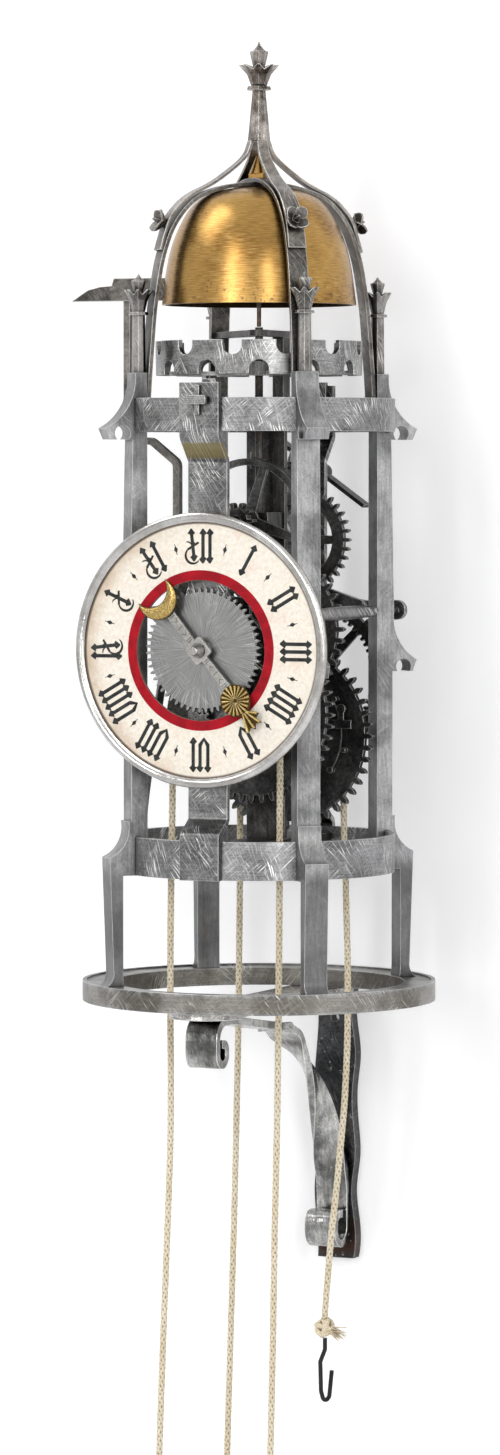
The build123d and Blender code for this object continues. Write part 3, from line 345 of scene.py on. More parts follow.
# brown spots and thin warm stains
rustLook = {"wide": 34.0, "small": 300.0, "start": 0.78, "dark": (0.055, 0.02, 0.008),
            "warm": (0.30, 0.13, 0.05)}


def makeRustBloom(look):
    group, ins, outs = newGroup("rustBloom", {"Vector": None, "Amount": 0.3},
                                {"Spots": "Float", "Stain": "Float", "Colour": "Color"})
    wide = noiseOf(ins["Vector"], look["wide"], 4.0, 0.65)
    small = noiseOf(ins["Vector"], look["small"], 4.0, 0.7)
    start = minus(look["start"], times(ins["Amount"], 0.3))
    both = times(plus(wide, small), 0.5)
    feedAll(outs, {"Spots": remap(both, start, plus(start, 0.05)),
                   "Stain": times(remap(wide, 0.5, 0.75), ins["Amount"]),
                   "Colour": blend(small, look["dark"], look["warm"])})
    return group


fileMarks = makeFileMarks(fileLook)
forgeGrain = makeForgeGrain(grainLook)
wornEdgeAndShade = makeWornEdgeAndShade(edgeLook)
rustBloom = makeRustBloom(rustLook)
print("shared effects ready")


def startMaterial(name):
    material = bpy.data.materials.new(name)
    tree = startTree(material)
    shader = node(tree, "ShaderNodeBsdfPrincipled")
    feed(node(tree, "ShaderNodeOutputMaterial").inputs["Surface"], shader.outputs[0])
    return material, tree, shader.inputs, node(tree, "ShaderNodeTexCoord").outputs["Object"]


# iron of the frame, trains and bracket; a look holds only what differs from the plain one
plainIron = {
    "plane": "slant", "scale": 1.0, "streak": 0.35, "pits": 0.4, "worn": 0.8, "corner": 0.0006,
    "relief": 0.35, "depth": 0.0002, "hammered": 0.0, "blows": 120.0, "tint": (0.2, 0.14, 0.085),
    "stained": 1.0, "creaseShadeColour": (0.018, 0.016, 0.014), "brush": (400, 400), "band": None}
legBand = {"colour": (0.085, 0.085, 0.086), "share": 0.6, "low": 0.0, "high": 0.138, "soft": 0.01}
ringBand = {"colour": (0.15, 0.125, 0.085), "share": 0.35, "low": 0.078, "high": 0.0835, "soft": 0.002}
oliveBand = {"colour": (0.24, 0.2, 0.085), "share": 0.85, "low": 0.3475, "high": 0.3535, "soft": 0.0015}
brownBand = {"colour": (0.06, 0.026, 0.014), "share": 0.5, "low": -0.062, "high": -0.05, "soft": 0.006}
ironLooks = {
    "postIron": {
        "nodes": "post_front_left post_front_right post_rear_left post_rear_right", "band": legBand,
        "dark": (0.135, 0.135, 0.137), "light": (0.3, 0.3, 0.302), "bright": (0.8, 0.8, 0.79),
        "rust": 0.1, "brush": (900, 60), "filed": 0.13, "streak": 0.22, "rough": 0.3},
    "hoopIron": {
        "nodes": "upper_hoop lower_hoop", "plane": "round", "dark": (0.12, 0.12, 0.121),
        "light": (0.26, 0.26, 0.262), "bright": (0.9, 0.9, 0.89), "rust": 0.06, "brush": (70, 1400),
        "filed": 0.75, "streak": 0.28, "pits": 0.3, "worn": 0.7, "rough": 0.29},
    "ringIron": {
        "nodes": "base_ring", "plane": "round", "band": ringBand, "tint": (0.17, 0.145, 0.11),
        "dark": (0.105, 0.105, 0.102), "light": (0.29, 0.287, 0.28), "bright": (0.85, 0.84, 0.8),
        "rust": 0.12, "brush": (70, 1400), "filed": 0.55, "streak": 0.26, "rough": 0.29},
    "strapIron": {
        "nodes": "front_strap", "plane": "front", "band": oliveBand, "dark": (0.085, 0.085, 0.086),
        "light": (0.19, 0.19, 0.188), "bright": (0.85, 0.85, 0.83), "rust": 0.12, "brush": (60, 1300),
        "filed": 0.62, "streak": 0.34, "pits": 0.5, "rough": 0.27},
    "innerIron": {
        "nodes": "middle_strap cross_bars balance_cock potences verge going_great_arbor going_second_arbor"
                 " crown_arbor strike_great_arbor strike_second_arbor strike_third_arbor fly_arbor fly",
        "dark": (0.026, 0.025, 0.024), "light": (0.09, 0.088, 0.085), "bright": (0.55, 0.54, 0.52),
        "rust": 0.14, "brush": (700, 70), "filed": 0.1, "streak": 0.4, "pits": 0.6, "rough": 0.34},
    "archIron": {
        "nodes": "dome_arches rosettes hammer", "corner": 0.0007, "dark": (0.06, 0.057, 0.053),
        "light": (0.18, 0.17, 0.155), "bright": (0.78, 0.75, 0.7), "rust": 0.24, "filed": 0.18,
        "streak": 0.3, "pits": 0.7, "worn": 0.95, "rough": 0.28},
    "ogeeIron": {
        "nodes": "ogee_straps", "corner": 0.0008, "tint": (0.2, 0.135, 0.08), "stained": 1.6,
        "dark": (0.12, 0.112, 0.1), "light": (0.27, 0.25, 0.225), "bright": (0.85, 0.82, 0.78),
        "rust": 0.24, "filed": 0.18, "streak": 0.3, "pits": 0.7, "worn": 1.0, "rough": 0.26},
    "bentIron": {
        "nodes": "post_finials", "tint": (0.1, 0.068, 0.042), "stained": 1.6, "dark": (0.085, 0.08, 0.073),
        "light": (0.24, 0.232, 0.22), "bright": (0.88, 0.86, 0.82), "rust": 0.22, "brush": (900, 60),
        "filed": 0.3, "streak": 0.25, "pits": 0.5, "worn": 0.85, "rough": 0.25},
    "spireIron": {
        "nodes": "spire spire_finial bell_stud", "scale": 1.6, "tint": (0.055, 0.036, 0.022),
        "stained": 2.2, "dark": (0.025, 0.019, 0.015), "light": (0.34, 0.31, 0.285),
        "bright": (0.9, 0.87, 0.82), "rust": 0.62, "brush": (700, 60), "filed": 0.2, "pits": 0.9,
        "worn": 0.9, "rough": 0.2},
    "wheelIron": {
        "nodes": "going_great_wheel going_pulley going_click going_second_wheel crown_wheel count_wheel"
                 " strike_great_wheel strike_click strike_pulley strike_second_wheel strike_third_wheel",
        "plane": "front", "dark": (0.038, 0.038, 0.038), "light": (0.135, 0.135, 0.132),
        "bright": (0.62, 0.61, 0.59), "rust": 0.1, "brush": (500, 500), "filed": 0.1, "worn": 0.95,
        "rough": 0.34, "corner": 0.0005},
    "balanceIron": {
        "nodes": "balance_ring", "plane": "round", "dark": (0.11, 0.11, 0.11), "light": (0.31, 0.31, 0.306),
        "bright": (0.88, 0.88, 0.86), "rust": 0.14, "brush": (90, 1200), "filed": 0.5, "pits": 0.6,
        "worn": 0.9, "rough": 0.27},
    "plateIron": {
        "nodes": "wall_plate", "relief": 0.8, "hammered": 2.5, "band": brownBand,
        "dark": (0.02, 0.021, 0.022), "light": (0.062, 0.063, 0.066), "bright": (0.5, 0.5, 0.5),
        "rust": 0.3, "brush": (160, 160), "filed": 0.12, "pits": 1.0, "rough": 0.27},
    "shelfIron": {
        "nodes": "shelf_bar", "relief": 1.0, "hammered": 6.0, "tint": (0.17, 0.13, 0.06), "corner": 0.001,
        "dark": (0.11, 0.108, 0.102), "light": (0.5, 0.49, 0.47), "bright": (0.97, 0.96, 0.93),
        "rust": 0.26, "brush": (90, 500), "filed": 0.2, "streak": 0.4, "pits": 1.2, "worn": 1.0,
        "rough": 0.18},
    "braceIron": {
        "nodes": "brace", "relief": 0.8, "hammered": 5.0, "tint": (0.19, 0.155, 0.075), "corner": 0.0009,
        "dark": (0.09, 0.09, 0.087), "light": (0.47, 0.47, 0.458), "bright": (0.97, 0.97, 0.95),
        "rust": 0.18, "brush": (600, 90), "filed": 0.15, "streak": 0.3, "pits": 0.8, "worn": 0.9,
        "rough": 0.14},
    "bezelSteel": {
        "nodes": "dial_bezel wheel_studs", "plane": "front", "relief": 0.12, "dark": (0.36, 0.35, 0.335),
        "light": (0.54, 0.53, 0.515), "bright": (0.95, 0.94, 0.92), "rust": 0.06, "brush": (300, 300),
        "filed": 0.0, "streak": 0.08, "pits": 0.2, "worn": 0.3, "rough": 0.1},
    "handSteel": {
        "nodes": "hour_hand", "plane": "front", "relief": 0.15, "dark": (0.31, 0.3, 0.28),
        "light": (0.42, 0.41, 0.385), "bright": (0.8, 0.79, 0.76), "rust": 0.1, "filed": 0.0,
        "streak": 0.08, "pits": 0.1, "worn": 0.3, "rough": 0.2},
}
backNodes = "rear_strap strap_keys hammer_spring detent"
ironLooks["backIron"] = {**ironLooks["strapIron"], "nodes": backNodes, "band": None}


# brushed one way, filed in patches, rubbed at its corners, a little rust, painted shade in its creases
def ironFinish(name, look):
    look = {**plainIron, **look}
    material, tree, shader, place = startMaterial(name)
    flat = flatOf(place, look["plane"])
    grain = useGroup(tree, forgeGrain, Vector=place, Scale=look["scale"])
    marks = useGroup(tree, fileMarks, Flat=flat, Scale=look["scale"])
    rust = useGroup(tree, rustBloom, Vector=place, Amount=look["rust"])
    brushed = noiseOf(stretched(flat, (*look["brush"], 1)), 1.0, 3.0, 0.7)
    filed = look["filed"]
    line = plus(times(marks["Lines"], filed), marks["Faint"], filed * 0.22, clamp=True)
    streak, speck = look["streak"], look["streak"] * 0.7
    shade = times(remap(brushed, 0.28, 0.72, 1 - streak, 1 + streak),
                  remap(grain["Speckle"], 0.3, 0.7, 1 - speck, 1 + speck))
    tone = scaled(blend(grain["Patches"], look["dark"], look["light"]), shade)
    tone = blend(line, tone, look["bright"])
    tone = blend(times(rust["Stain"], look["stained"], clamp=True), tone, look["tint"])
    if look["band"]:
        band = look["band"]
        height = splitXYZ(place)[2]
        up = remap(height, band["low"] - band["soft"], band["low"], 0, band["share"])
        down = remap(height, band["high"], band["high"] + band["soft"], 1, 0)
        tone = blend(times(up, down), tone, band["colour"])
    tone = blend(rust["Spots"], tone, rust["Colour"])
    relief = minus(plus(brushed, line, 0.7), times(grain["Pits"], look["pits"]))
    if look["hammered"]:
        relief = plus(relief, noiseOf(place, look["blows"], 1.0, 0.5), look["hammered"])
    normal = bumpOf(relief, look["relief"], look["depth"])
    worn = useGroup(tree, wornEdgeAndShade, Radius=look["corner"], Normal=normal)
    tone = blend(times(worn["Edge"], look["worn"]), tone, look["bright"])
    rough = plus(look["rough"], grain["Speckle"], 0.16)
    # painted shade: creases and recesses blended towards a near-black colour
    feedAll(shader, {"Base Color": blend(times(worn["PaintedShade"], 0.8), tone, look["creaseShadeColour"]),
                     "Metallic": remap(rust["Spots"], 0, 1, 1, 0.15),
                     "Roughness": plus(rough, rust["Spots"], 0.3, clamp=True), "Normal": worn["Normal"]})
    return material


for name, look in ironLooks.items():
    finish = ironFinish(name, look)
    for part in look["nodes"].split():
        paint(part, finish)
print("iron finishes:", len(ironLooks))


# brass of the bell, its nut, the sun and the crescent; tarnish gathers from one height down to another
plainBrass = {"rings": False, "freckles": 520.0, "tarnishTop": 0.1, "tarnishFoot": 0.0, "worn": 0.6,
              "insideShade": 0.0, "insideShadeColour": (0.012, 0.008, 0.005)}
brassLooks = {
    "bellBrass": {
        "metal": (0.36, 0.21, 0.06), "deep": (0.205, 0.103, 0.025), "pale": (0.56, 0.37, 0.14),
        "tarnish": (0.1, 0.05, 0.02), "tarnishTop": 0.447, "tarnishFoot": 0.424, "rough": 0.2,
        "rings": True, "insideShade": 0.93, "worn": 0.25},
    "handBrass": {
        "metal": (0.045, 0.026, 0.008), "deep": (0.025, 0.014, 0.004), "pale": (0.16, 0.11, 0.04),
        "tarnish": (0.2, 0.11, 0.04), "rough": 0.36},
    "rayBrass": {
        "metal": (0.5, 0.36, 0.11), "deep": (0.3, 0.195, 0.05), "pale": (0.84, 0.7, 0.38),
        "tarnish": (0.16, 0.09, 0.03), "rough": 0.2},
}
ringLines = {"round": 7.0, "up": 2600.0}  # brush lines stretched round the bell's axis
plainLines = 1500.0


# brushed brass with brown tarnish in freckles, painted shade near black on the side that faces the axis
def brassFinish(name, look):
    look = {**plainBrass, **look}
    material, tree, shader, place = startMaterial(name)
    x, y, z = splitXYZ(place)
    forward = minus(y, axisY)
    if look["rings"]:
        around = times(calc("ARCTAN2", forward, x), ringLines["round"])
        lines = noiseOf(joinXY(around, times(z, ringLines["up"])), 1.0, 2.0)
    else:
        lines = noiseOf(place, plainLines, 2.0)
    grain = useGroup(tree, forgeGrain, Vector=place, Scale=0.8)
    tone = blend(grain["Patches"], look["metal"], look["deep"])
    tone = blend(remap(lines, 0.42, 0.72, 0, 0.55), tone, look["pale"])
    near = remap(z, look["tarnishTop"], look["tarnishFoot"], 0, 0.14)
    freckles = plus(noiseOf(place, look["freckles"], 3.0, 0.6), near)
    spots = remap(freckles, 0.7, 0.78, 0, 0.85)
    tone = blend(spots, tone, look["tarnish"])
    worn = useGroup(tree, wornEdgeAndShade, Radius=0.0005, Normal=bumpOf(lines, 0.22))
    tone = blend(times(worn["Edge"], look["worn"]), tone, look["pale"])
    # painted shade: faces turned towards the bell's axis, inside its mouth, darkened nearly to black
    facing = node(tree, "ShaderNodeNewGeometry").outputs["Normal"]
    inside = remap(dot(facing, joinXY(x, forward)), -0.0004, -0.004, 0, look["insideShade"])
    feedAll(shader, {"Base Color": blend(inside, tone, look["insideShadeColour"]),
                     "Metallic": remap(spots, 0, 1, 1, 0.4),
                     "Roughness": plus(plus(look["rough"], lines, 0.18), inside, 0.4),
                     "Normal": worn["Normal"]})
    return material


brasses = {name: brassFinish(name, look) for name, look in brassLooks.items()}
paint("bell", brasses["bellBrass"])
paint("bell_nut", brasses["bellBrass"])
paint("hand_ornaments", brasses["handBrass"])
print("brass finishes ready")

# the dial's face, in millimetres, and the height of its middle
dialFace = {"centreZ": 176.79, "front": -69.0, "ring": (34.5, 39.3), "lift": 0.12, "sunk": 0.05}
dialMiddle = atClock(0, 0, dialFace["centreZ"]).z

# hour wheel: ground from its middle outwards
wheelLook = {"dark": (0.12, 0.12, 0.119), "light": (0.31, 0.31, 0.305), "bright": (0.93, 0.93, 0.92),
             "rough": 0.27, "spokes": 95.0, "rings": 55.0, "sparkFrom": (0.010, 0.024)}


def groundWheel(name, look):
    material, tree, shader, place = startMaterial(name)
    across, y, z = splitXYZ(place)
    up = minus(z, dialMiddle)
    reach = reachOf(across, up)
    around = times(calc("ARCTAN2", up, across), look["spokes"])
    lines = noiseOf(joinXY(around, times(reach, look["rings"])), 1.0, 3.0, 0.7)
    marks = useGroup(tree, fileMarks, Flat=flatOf(place, "front"), Scale=1.2)
    grain = useGroup(tree, forgeGrain, Vector=place, Scale=1.0)
    tone = blend(remap(lines, 0.3, 0.7), look["dark"], look["light"])
    spark = times(remap(lines, 0.64, 0.72, 0, 0.8), remap(reach, *look["sparkFrom"]))
    tone = blend(spark, tone, look["bright"])
    tone = blend(times(marks["Lines"], 0.12), tone, look["bright"])
    worn = useGroup(tree, wornEdgeAndShade, Radius=0.0003, Normal=bumpOf(lines, 0.35))
    feedAll(shader, {"Base Color": blend(times(worn["Edge"], 0.5), tone, look["bright"]), "Metallic": 1.0,
                     "Roughness": plus(look["rough"], grain["Speckle"], 0.2), "Normal": worn["Normal"]})
    return material


paint("hour_wheel", groundWheel("hourWheelIron", wheelLook))

# dial: cream paint, crimson ring, black numerals; rim, edge and mouth are distances from its middle
dialLook = {
    "cream": (0.80, 0.72, 0.60), "pale": (0.90, 0.85, 0.76), "pink": (0.80, 0.58, 0.47),
    "stain": (0.47, 0.31, 0.17), "seam": (0.10, 0.065, 0.035), "rough": 0.62, "fibre": 520.0, "cloud": 60.0,
    "blush": 95.0, "rim": (0.053, 0.0615), "edge": (0.0614, 0.0624), "mouth": (0.0346, 0.0344),
    "stainedSide": (0.01, -0.062)}


def dialPaint(look):
    material, _, shader, place = startMaterial("dialCream")
    across, y, z = splitXYZ(place)
    reach = reachOf(across, minus(z, dialMiddle))
    fibre = noiseOf(place, look["fibre"], 4.0, 0.7)
    cloud = noiseOf(place, look["cloud"], 4.0, 0.65)
    blush = noiseOf(place, look["blush"], 3.0, 0.6)
    tone = blend(remap(fibre, 0.33, 0.66), look["cream"], look["pale"])
    tone = blend(remap(blush, 0.52, 0.72, 0, 0.42), tone, look["pink"])
    side = times(remap(reach, *look["rim"]), remap(across, *look["stainedSide"]))
    soak = times(times(side, remap(cloud, 0.3, 0.6, 0.3, 1)), 0.6)
    tone = blend(soak, tone, look["stain"])
    # painted shade: thin dark lines where the dial meets the bezel and round the edge of its mouth
    seams = [remap(reach, *look[border], 0, 0.9) for border in ("edge", "mouth")]
    feedAll(shader, {"Base Color": blend(calc("MAXIMUM", *seams), tone, look["seam"]),
                     "Roughness": plus(look["rough"], cloud, 0.12), "Normal": bumpOf(fibre, 0.25)})
    return material


paint("dial_plate", dialPaint(dialLook))

# brushed-on paint with slow and fine variation, chipped here and there
paintLooks = {
    "crimsonPaint": {"top": (0.42, 0.002, 0.012), "deep": (0.27, 0.001, 0.008), "rough": 0.6, "chips": 0.03},
    "numeralPaint": {
        "top": (0.015, 0.016, 0.016), "deep": (0.036, 0.038, 0.037), "rough": 0.55, "chips": 0.3},
    "hookBlack": {"top": (0.008, 0.008, 0.009), "deep": (0.02, 0.02, 0.022), "rough": 0.28, "chips": 0.08},
    "handEngraving": {"top": (0.03, 0.028, 0.026), "deep": (0.06, 0.055, 0.05), "rough": 0.5, "chips": 0.3},
}
paintGrain = {"slow": 140.0, "fine": 1400.0, "chip": (0.45, 0.40, 0.34)}


def paintFinish(name, look):
    material, _, shader, place = startMaterial(name)
    slow = noiseOf(place, paintGrain["slow"], 3.0, 0.6)
    fine = noiseOf(place, paintGrain["fine"], 3.0, 0.7)
    tone = blend(remap(slow, 0.35, 0.65), look["top"], look["deep"])
    chips = remap(fine, 0.64, 0.72, 0, look["chips"])
    feedAll(shader, {"Base Color": blend(chips, tone, paintGrain["chip"]), "Specular IOR Level": 0.22,
                     "Roughness": plus(look["rough"], fine, 0.15), "Normal": bumpOf(fine, 0.3)})
    return material


paints = {name: paintFinish(name, look) for name, look in paintLooks.items()}
paint("cord_hooks", paints["hookBlack"])


# a point in the dial's plane, by its own across and up
def onDial(across, up, y):
    return atClock(across, y, dialFace["centreZ"] + up)


def annulus(name, inner, outer, back, front, steps=160):
    verts, faces = [], []
    for k in range(steps):
        a = 2 * math.pi * k / steps
        for r, y in ((inner, back), (outer, back), (outer, front), (inner, front)):
            verts.append(onDial(r * math.cos(a), r * math.sin(a), y))
    for k in range(steps):
        a, b = 4 * k, 4 * ((k + 1) % steps)
        faces += [(a + i, b + i, b + (i + 1) % 4, a + (i + 1) % 4) for i in range(4)]
    return meshFrom(name, verts, faces)


ringMesh = annulus("dial_ring", *dialFace["ring"], dialFace["front"] + dialFace["sunk"],
                   dialFace["front"] - dialFace["lift"])
dialRing = addObject("dial_ring", ringMesh, "frame", paints["crimsonPaint"])

# numerals, in millimetres from the dial's middle; letter widths are shares of the pitch
numeralLook = {"inner": 42.6, "outer": 59.6, "stroke": 1.75, "pitch": 3.75, "lift": 0.1,
              "widths": {"I": 1.0, "V": 2.1, "X": 1.75}}
hourWords = ["XII", "I", "II", "III", "IIII", "V", "VI", "VII", "VIII", "IX", "X", "XI"]


# one upright with an arrow at each end, as outlines
def minim(x, low, high, lean=0.0, foot=True, head=True):
    w, c = numeralLook["stroke"] / 2, x + lean
    shapes = [[(x - w, low + 1.2), (x + w, low + 1.2), (c + w, high - 1.2), (c - w, high - 1.2)]]
    if head:
        shapes.append([(c - 2.0, high - 2.5), (c + w, high - 3.3), (c + 2.1, high - 2.1), (c + 0.2, high),
                       (c - 0.3, high)])
    if foot:
        shapes.append([(x - 2.1, low + 2.0), (x - 0.4, low), (x + 0.3, low), (x + 2.0, low + 2.6),
                       (x + w, low + 3.2), (x - w, low + 3.2)])
    return shapes


# a curl that tapers from thin to thick and back to thin
def arcBand(cx, cy, radius, start, end, thick, thin, steps=14):
    outer, inner = [], []
    for k in range(steps + 1):
        share = k / steps
        a = math.radians(start + (end - start) * share)
        half = (thin + (thick - thin) * math.sin(math.pi * share)) / 2
        for edge, r in ((outer, radius + half), (inner, radius - half)):
            edge.append((cx + r * math.cos(a), cy + r * math.sin(a)))
    return [[outer[k], outer[k + 1], inner[k + 1], inner[k]] for k in range(steps)]


# two uprights whose inner ends slope to one point
def letterV(x, low, high):
    w = numeralLook["stroke"] / 2
    gap = numeralLook["pitch"] * 0.56
    point = [(x, low + 1.6), (x, low - 0.2)]
    left, right = x - gap, x + gap
    shapes = minim(left, low + 2.6, high, foot=False)
    shapes.append([(left - w, low + 4.2), (left - w, low + 3.2), *point[::-1], (left + w, low + 4.2)])
    shapes += minim(right, low + 2.6, high, foot=False)
    shapes.append([*point, (right + w, low + 3.2), (right + w, low + 4.2), (right - w, low + 4.2)])
    return shapes


# a slanting upright, a cross stroke and a curl at its foot
def letterX(x, low, high):
    mid = (low + high) / 2
    shapes = minim(x + 0.4, low + 1.0, high, lean=-1.6)
    shapes.append([(x - 3.4, mid - 1.3), (x - 2.6, mid - 2.2), (x + 3.2, mid + 1.4), (x + 2.4, mid + 2.2)])
    shapes += arcBand(x - 0.2, low + 3.9, 4.0, 118, 322, 1.25, 0.5)
    shapes += arcBand(x + 3.0, mid + 3.6, 3.4, 168, 248, 0.8, 0.35, 8)
    shapes += arcBand(x - 3.2, mid - 0.2, 2.2, 20, 110, 0.7, 0.3, 8)
    return shapes


def hourShapes(word):
    letters = {"I": minim, "V": letterV, "X": letterX}
    widths = [numeralLook["pitch"] * numeralLook["widths"][c] for c in word]
    shapes, x = [], -sum(widths) / 2
    for c, width in zip(word, widths):
        shapes += letters[c](x + width / 2, numeralLook["inner"], numeralLook["outer"])
        x += width
    return shapes


# the small mark between two hours: a diamond on a thin upright
def lozenge(radius, wide, tall, thin=0.16, long=1.45):
    low, high = radius - tall * long, radius + tall * long
    return [[(0, radius - tall), (wide, radius), (0, radius + tall), (-wide, radius)],
            [(-thin, low), (thin, low), (thin, high), (-thin, high)]]


# flat closed plates from outlines, each a hair higher than the last so that none lie in one plane
plateSteps = {"sunk": 0.03, "step": 0.002, "levels": 12}


def plateOfShapes(name, placed, front, lift):
    verts, faces = [], []
    for turn, shapes in placed:
        s, c = math.sin(math.radians(turn)), math.cos(math.radians(turn))
        for rank, outline in enumerate(shapes):
            area = sum(a[0] * b[1] - b[0] * a[1] for a, b in zip(outline, outline[1:] + outline[:1]))
            line = outline if area > 0 else outline[::-1]
            base, n = len(verts), len(line)
            top = front - lift - plateSteps["step"] * (rank % plateSteps["levels"])
            for y in (front + plateSteps["sunk"], top):
                verts += [onDial(u * c + v * s, v * c - u * s, y) for u, v in line]
            faces.append(tuple(base + n + i for i in range(n)))
            faces.append(tuple(base + i for i in reversed(range(n))))
            faces += [(base + i, base + (i + 1) % n, base + n + (i + 1) % n, base + n + i) for i in range(n)]
    return meshFrom(name, verts, faces)


placed = [(30 * k, hourShapes(word)) for k, word in enumerate(hourWords)]
placed += [(30 * k + 15, lozenge(51.0, 1.05, 1.9)) for k in range(12)]
numeralMesh = plateOfShapes("numerals", placed, dialFace["front"], numeralLook["lift"])
numerals = addObject("numerals", numeralMesh, "frame", paints["numeralPaint"])
print("dial painted")

# hand, in millimetres along it from the dial's middle; the turn is clockwise from noon
handShape = {"turn": 139.5, "front": -72.0, "face": -73.2, "sunk": 0.06}
handTurn = math.radians(90 - handShape["turn"])


# a point on the hand, along it and across it
def onHand(along, across, y):
    c, s = math.cos(handTurn), math.sin(handTurn)
    return onDial(along * c - across * s, along * s + across * c, y)


def polar(centre, radius, turn):
    return centre + radius * math.cos(turn), radius * math.sin(turn)


# lines cut across the hand near both ends of each arm, and two chevrons between them
engravingLook = {"arm": (6.4, 22.6), "half": 1.75, "line": 0.13, "inset": 1.1, "chevrons": (3.4, 11.4),
                 "wing": 1.6, "lift": 0.03}


def engravedLines(look):
    low, high = look["arm"]
    w, t = look["half"], look["line"]
    shapes = []
    for side in (1, -1):
        for place in (low, low + look["inset"], high - look["inset"], high, (low + high) / 2):
            p = side * place
            shapes.append([(-w, p - t), (w, p - t), (w, p + t), (-w, p + t)])
        for start in look["chevrons"]:
            points = [side * (low + start + rise) for rise in (0, 1.9, 2.2, 0.35)]
            for wing in (-look["wing"], look["wing"]):
                shapes.append(list(zip((0, wing, wing, 0), points)))
    return shapes


engravingMesh = plateOfShapes("hand_engraving", [(handShape["turn"], engravedLines(engravingLook))],
                              handShape["front"], engravingLook["lift"])
engraving = addObject("hand_engraving", engravingMesh, "hour", paints["handEngraving"])

# the sun's rays and the four strands of its tassel
sunLook = {"centre": 31.6, "core": 0.9, "radius": 7.6, "wave": 0.25, "rays": 19, "widths": (0.1, 0.72),
           "rise": 0.55, "tassel": ((47.9, -5.0), (48.4, -0.8), (47.9, 3.5), (43.6, 5.2)),
           "tasselWidths": (0.45, 0.85)}


# thin three-cornered ribs, each from one point to another with its two half widths
def ridges(name, runs, back, front):
    verts, faces = [], []
    for (a0, b0, w0), (a1, b1, w1) in runs:
        long = math.hypot(a1 - a0, b1 - b0)
        ua, ub = (a1 - a0) / long, (b1 - b0) / long
        base = len(verts)
        for a, b, w, inset in ((a0, b0, w0, 0.3), (a1, b1, w1, -0.5)):
            verts += [onHand(a + ub * w, b - ua * w, back), onHand(a - ub * w, b + ua * w, back),
                      onHand(a + ua * inset, b + ub * inset, front)]
        sides = ((0, 2, 1), (5, 3, 4), (0, 1, 4, 3), (1, 2, 5, 4), (2, 0, 3, 5))
        faces += [tuple(base + i for i in side) for side in sides]
    return meshFrom(name, verts, faces)


def sunRuns(look):
    runs = []
    for k in range(look["rays"]):
        a = 2 * math.pi * (k + 0.5) / look["rays"]
        long = look["radius"] + look["wave"] * math.sin(5.1 * k)
        ends = zip((look["core"], long), look["widths"])
        runs.append([(*polar(look["centre"], r, a), w) for r, w in ends])
    w0, w1 = look["tasselWidths"]
    for along, across in look["tassel"]:
        runs.append([(look["centre"] + look["radius"], across * 0.22, w0), (along, across, w1)])
    return runs


sunMesh = ridges("sun_rays", sunRuns(sunLook), handShape["face"] + handShape["sunk"],
                 handShape["face"] - sunLook["rise"])
sunRays = addObject("sun_rays", sunMesh, "hour", brasses["rayBrass"])

# the crescent: one circle cut by another, each with the half angle of its horns
moonLook = {"outer": (-33.0, 10.25, 117.3), "inner": (-39.5, 9.55, 79.4), "horns": 0.97, "rise": 0.85,
            "edge": 0.04}


# its rounded face, thinning to both horns
def crescent(name, look, rows=36, columns=8):
    loops = []
    for i in range(rows + 1):
        t = (2 * i / rows - 1) * look["horns"]
        (a0, b0), (a1, b1) = [polar(centre, radius, math.radians(horn * t))
                              for centre, radius, horn in (look["inner"], look["outer"])]
        back, front = [], []
        for j in range(columns + 1):
            s = j / columns
            point = (a0 + (a1 - a0) * s, b0 + (b1 - b0) * s)
            swell = look["edge"] + look["rise"] * math.sin(math.pi * s) * math.cos(math.pi * t / 2)
            back.append(onHand(*point, handShape["face"] + handShape["sunk"]))
            front.append(onHand(*point, handShape["face"] - swell))
        loops.append(front + back[::-1])
    verts, faces = [], []
    closedTube(verts, faces, loops)
    return meshFrom(name, verts, faces, smooth=True)


moonFace = addObject("moon_face", crescent("moon_face", moonLook), "hour", brasses["rayBrass"])
print("hand finished")

# braided linen cords over the two rope pulleys; routes are given points, across and up in millimetres
cordLook = {"radius": 1.8, "strands": 4, "pitch": 17.0, "strand": 0.72, "weave": 0.17, "sides": 6,
            "step": 0.7, "fibres": 60, "wrap": 29.0}
cordRoutes = {
    "cord_going_rope": {
        "node": "cord_going", "y": -39.0, "height": 143.4, "fray": 15,
        "left": [(-37.1, -228), (-34.9, -170), (-32.3, -112), (-30.2, -58), (-30.8, 0), (-30.4, 54),
                 (-29.3, 108)],
        "right": [(29.2, 109), (28.9, 55), (28.4, 0), (27.7, -57), (26.2, -113), (25.4, -169),
                  (23.9, -224.5)]},
    "cord_strike_rope": {
        "node": "cord_strike", "y": 39.7, "height": 131.2, "fray": 16,
        "left": [(-36.1, -241), (-34.3, -184), (-32.3, -127), (-30.8, -71), (-29.6, -15), (-28.9, 41),
                 (-28.6, 96.5)],
        "right": [(28.6, 98), (30.4, 48), (31.6, 2), (30.6, -45), (26.0, -92), (20.9, -135), (18.6, -166)]},
}


# the points over a pulley: corners whose curve lies on the wrap's circle
def wrapPoints(height):
    reach = cordLook["wrap"] / math.cos(math.radians(22.5))
    corners = [math.radians(t) for t in (157.5, 112.5, 67.5, 22.5)]
    return [(reach * math.cos(t), height + reach * math.sin(t)) for t in corners]


# natural linen: fine fibres along each strand, painted shade in grooves and crossings, a few dark flecks
linenLook = {"tan": (0.82, 0.68, 0.44), "pale": (0.93, 0.83, 0.61), "fibre": (0.93, 0.87, 0.73),
             "groove": (0.30, 0.215, 0.115), "fleck": (0.30, 0.20, 0.10), "creaseShade": (0.20, 0.125, 0.055),
             "lint": 1900.0, "flecks": 1500.0, "slow": 38.0}


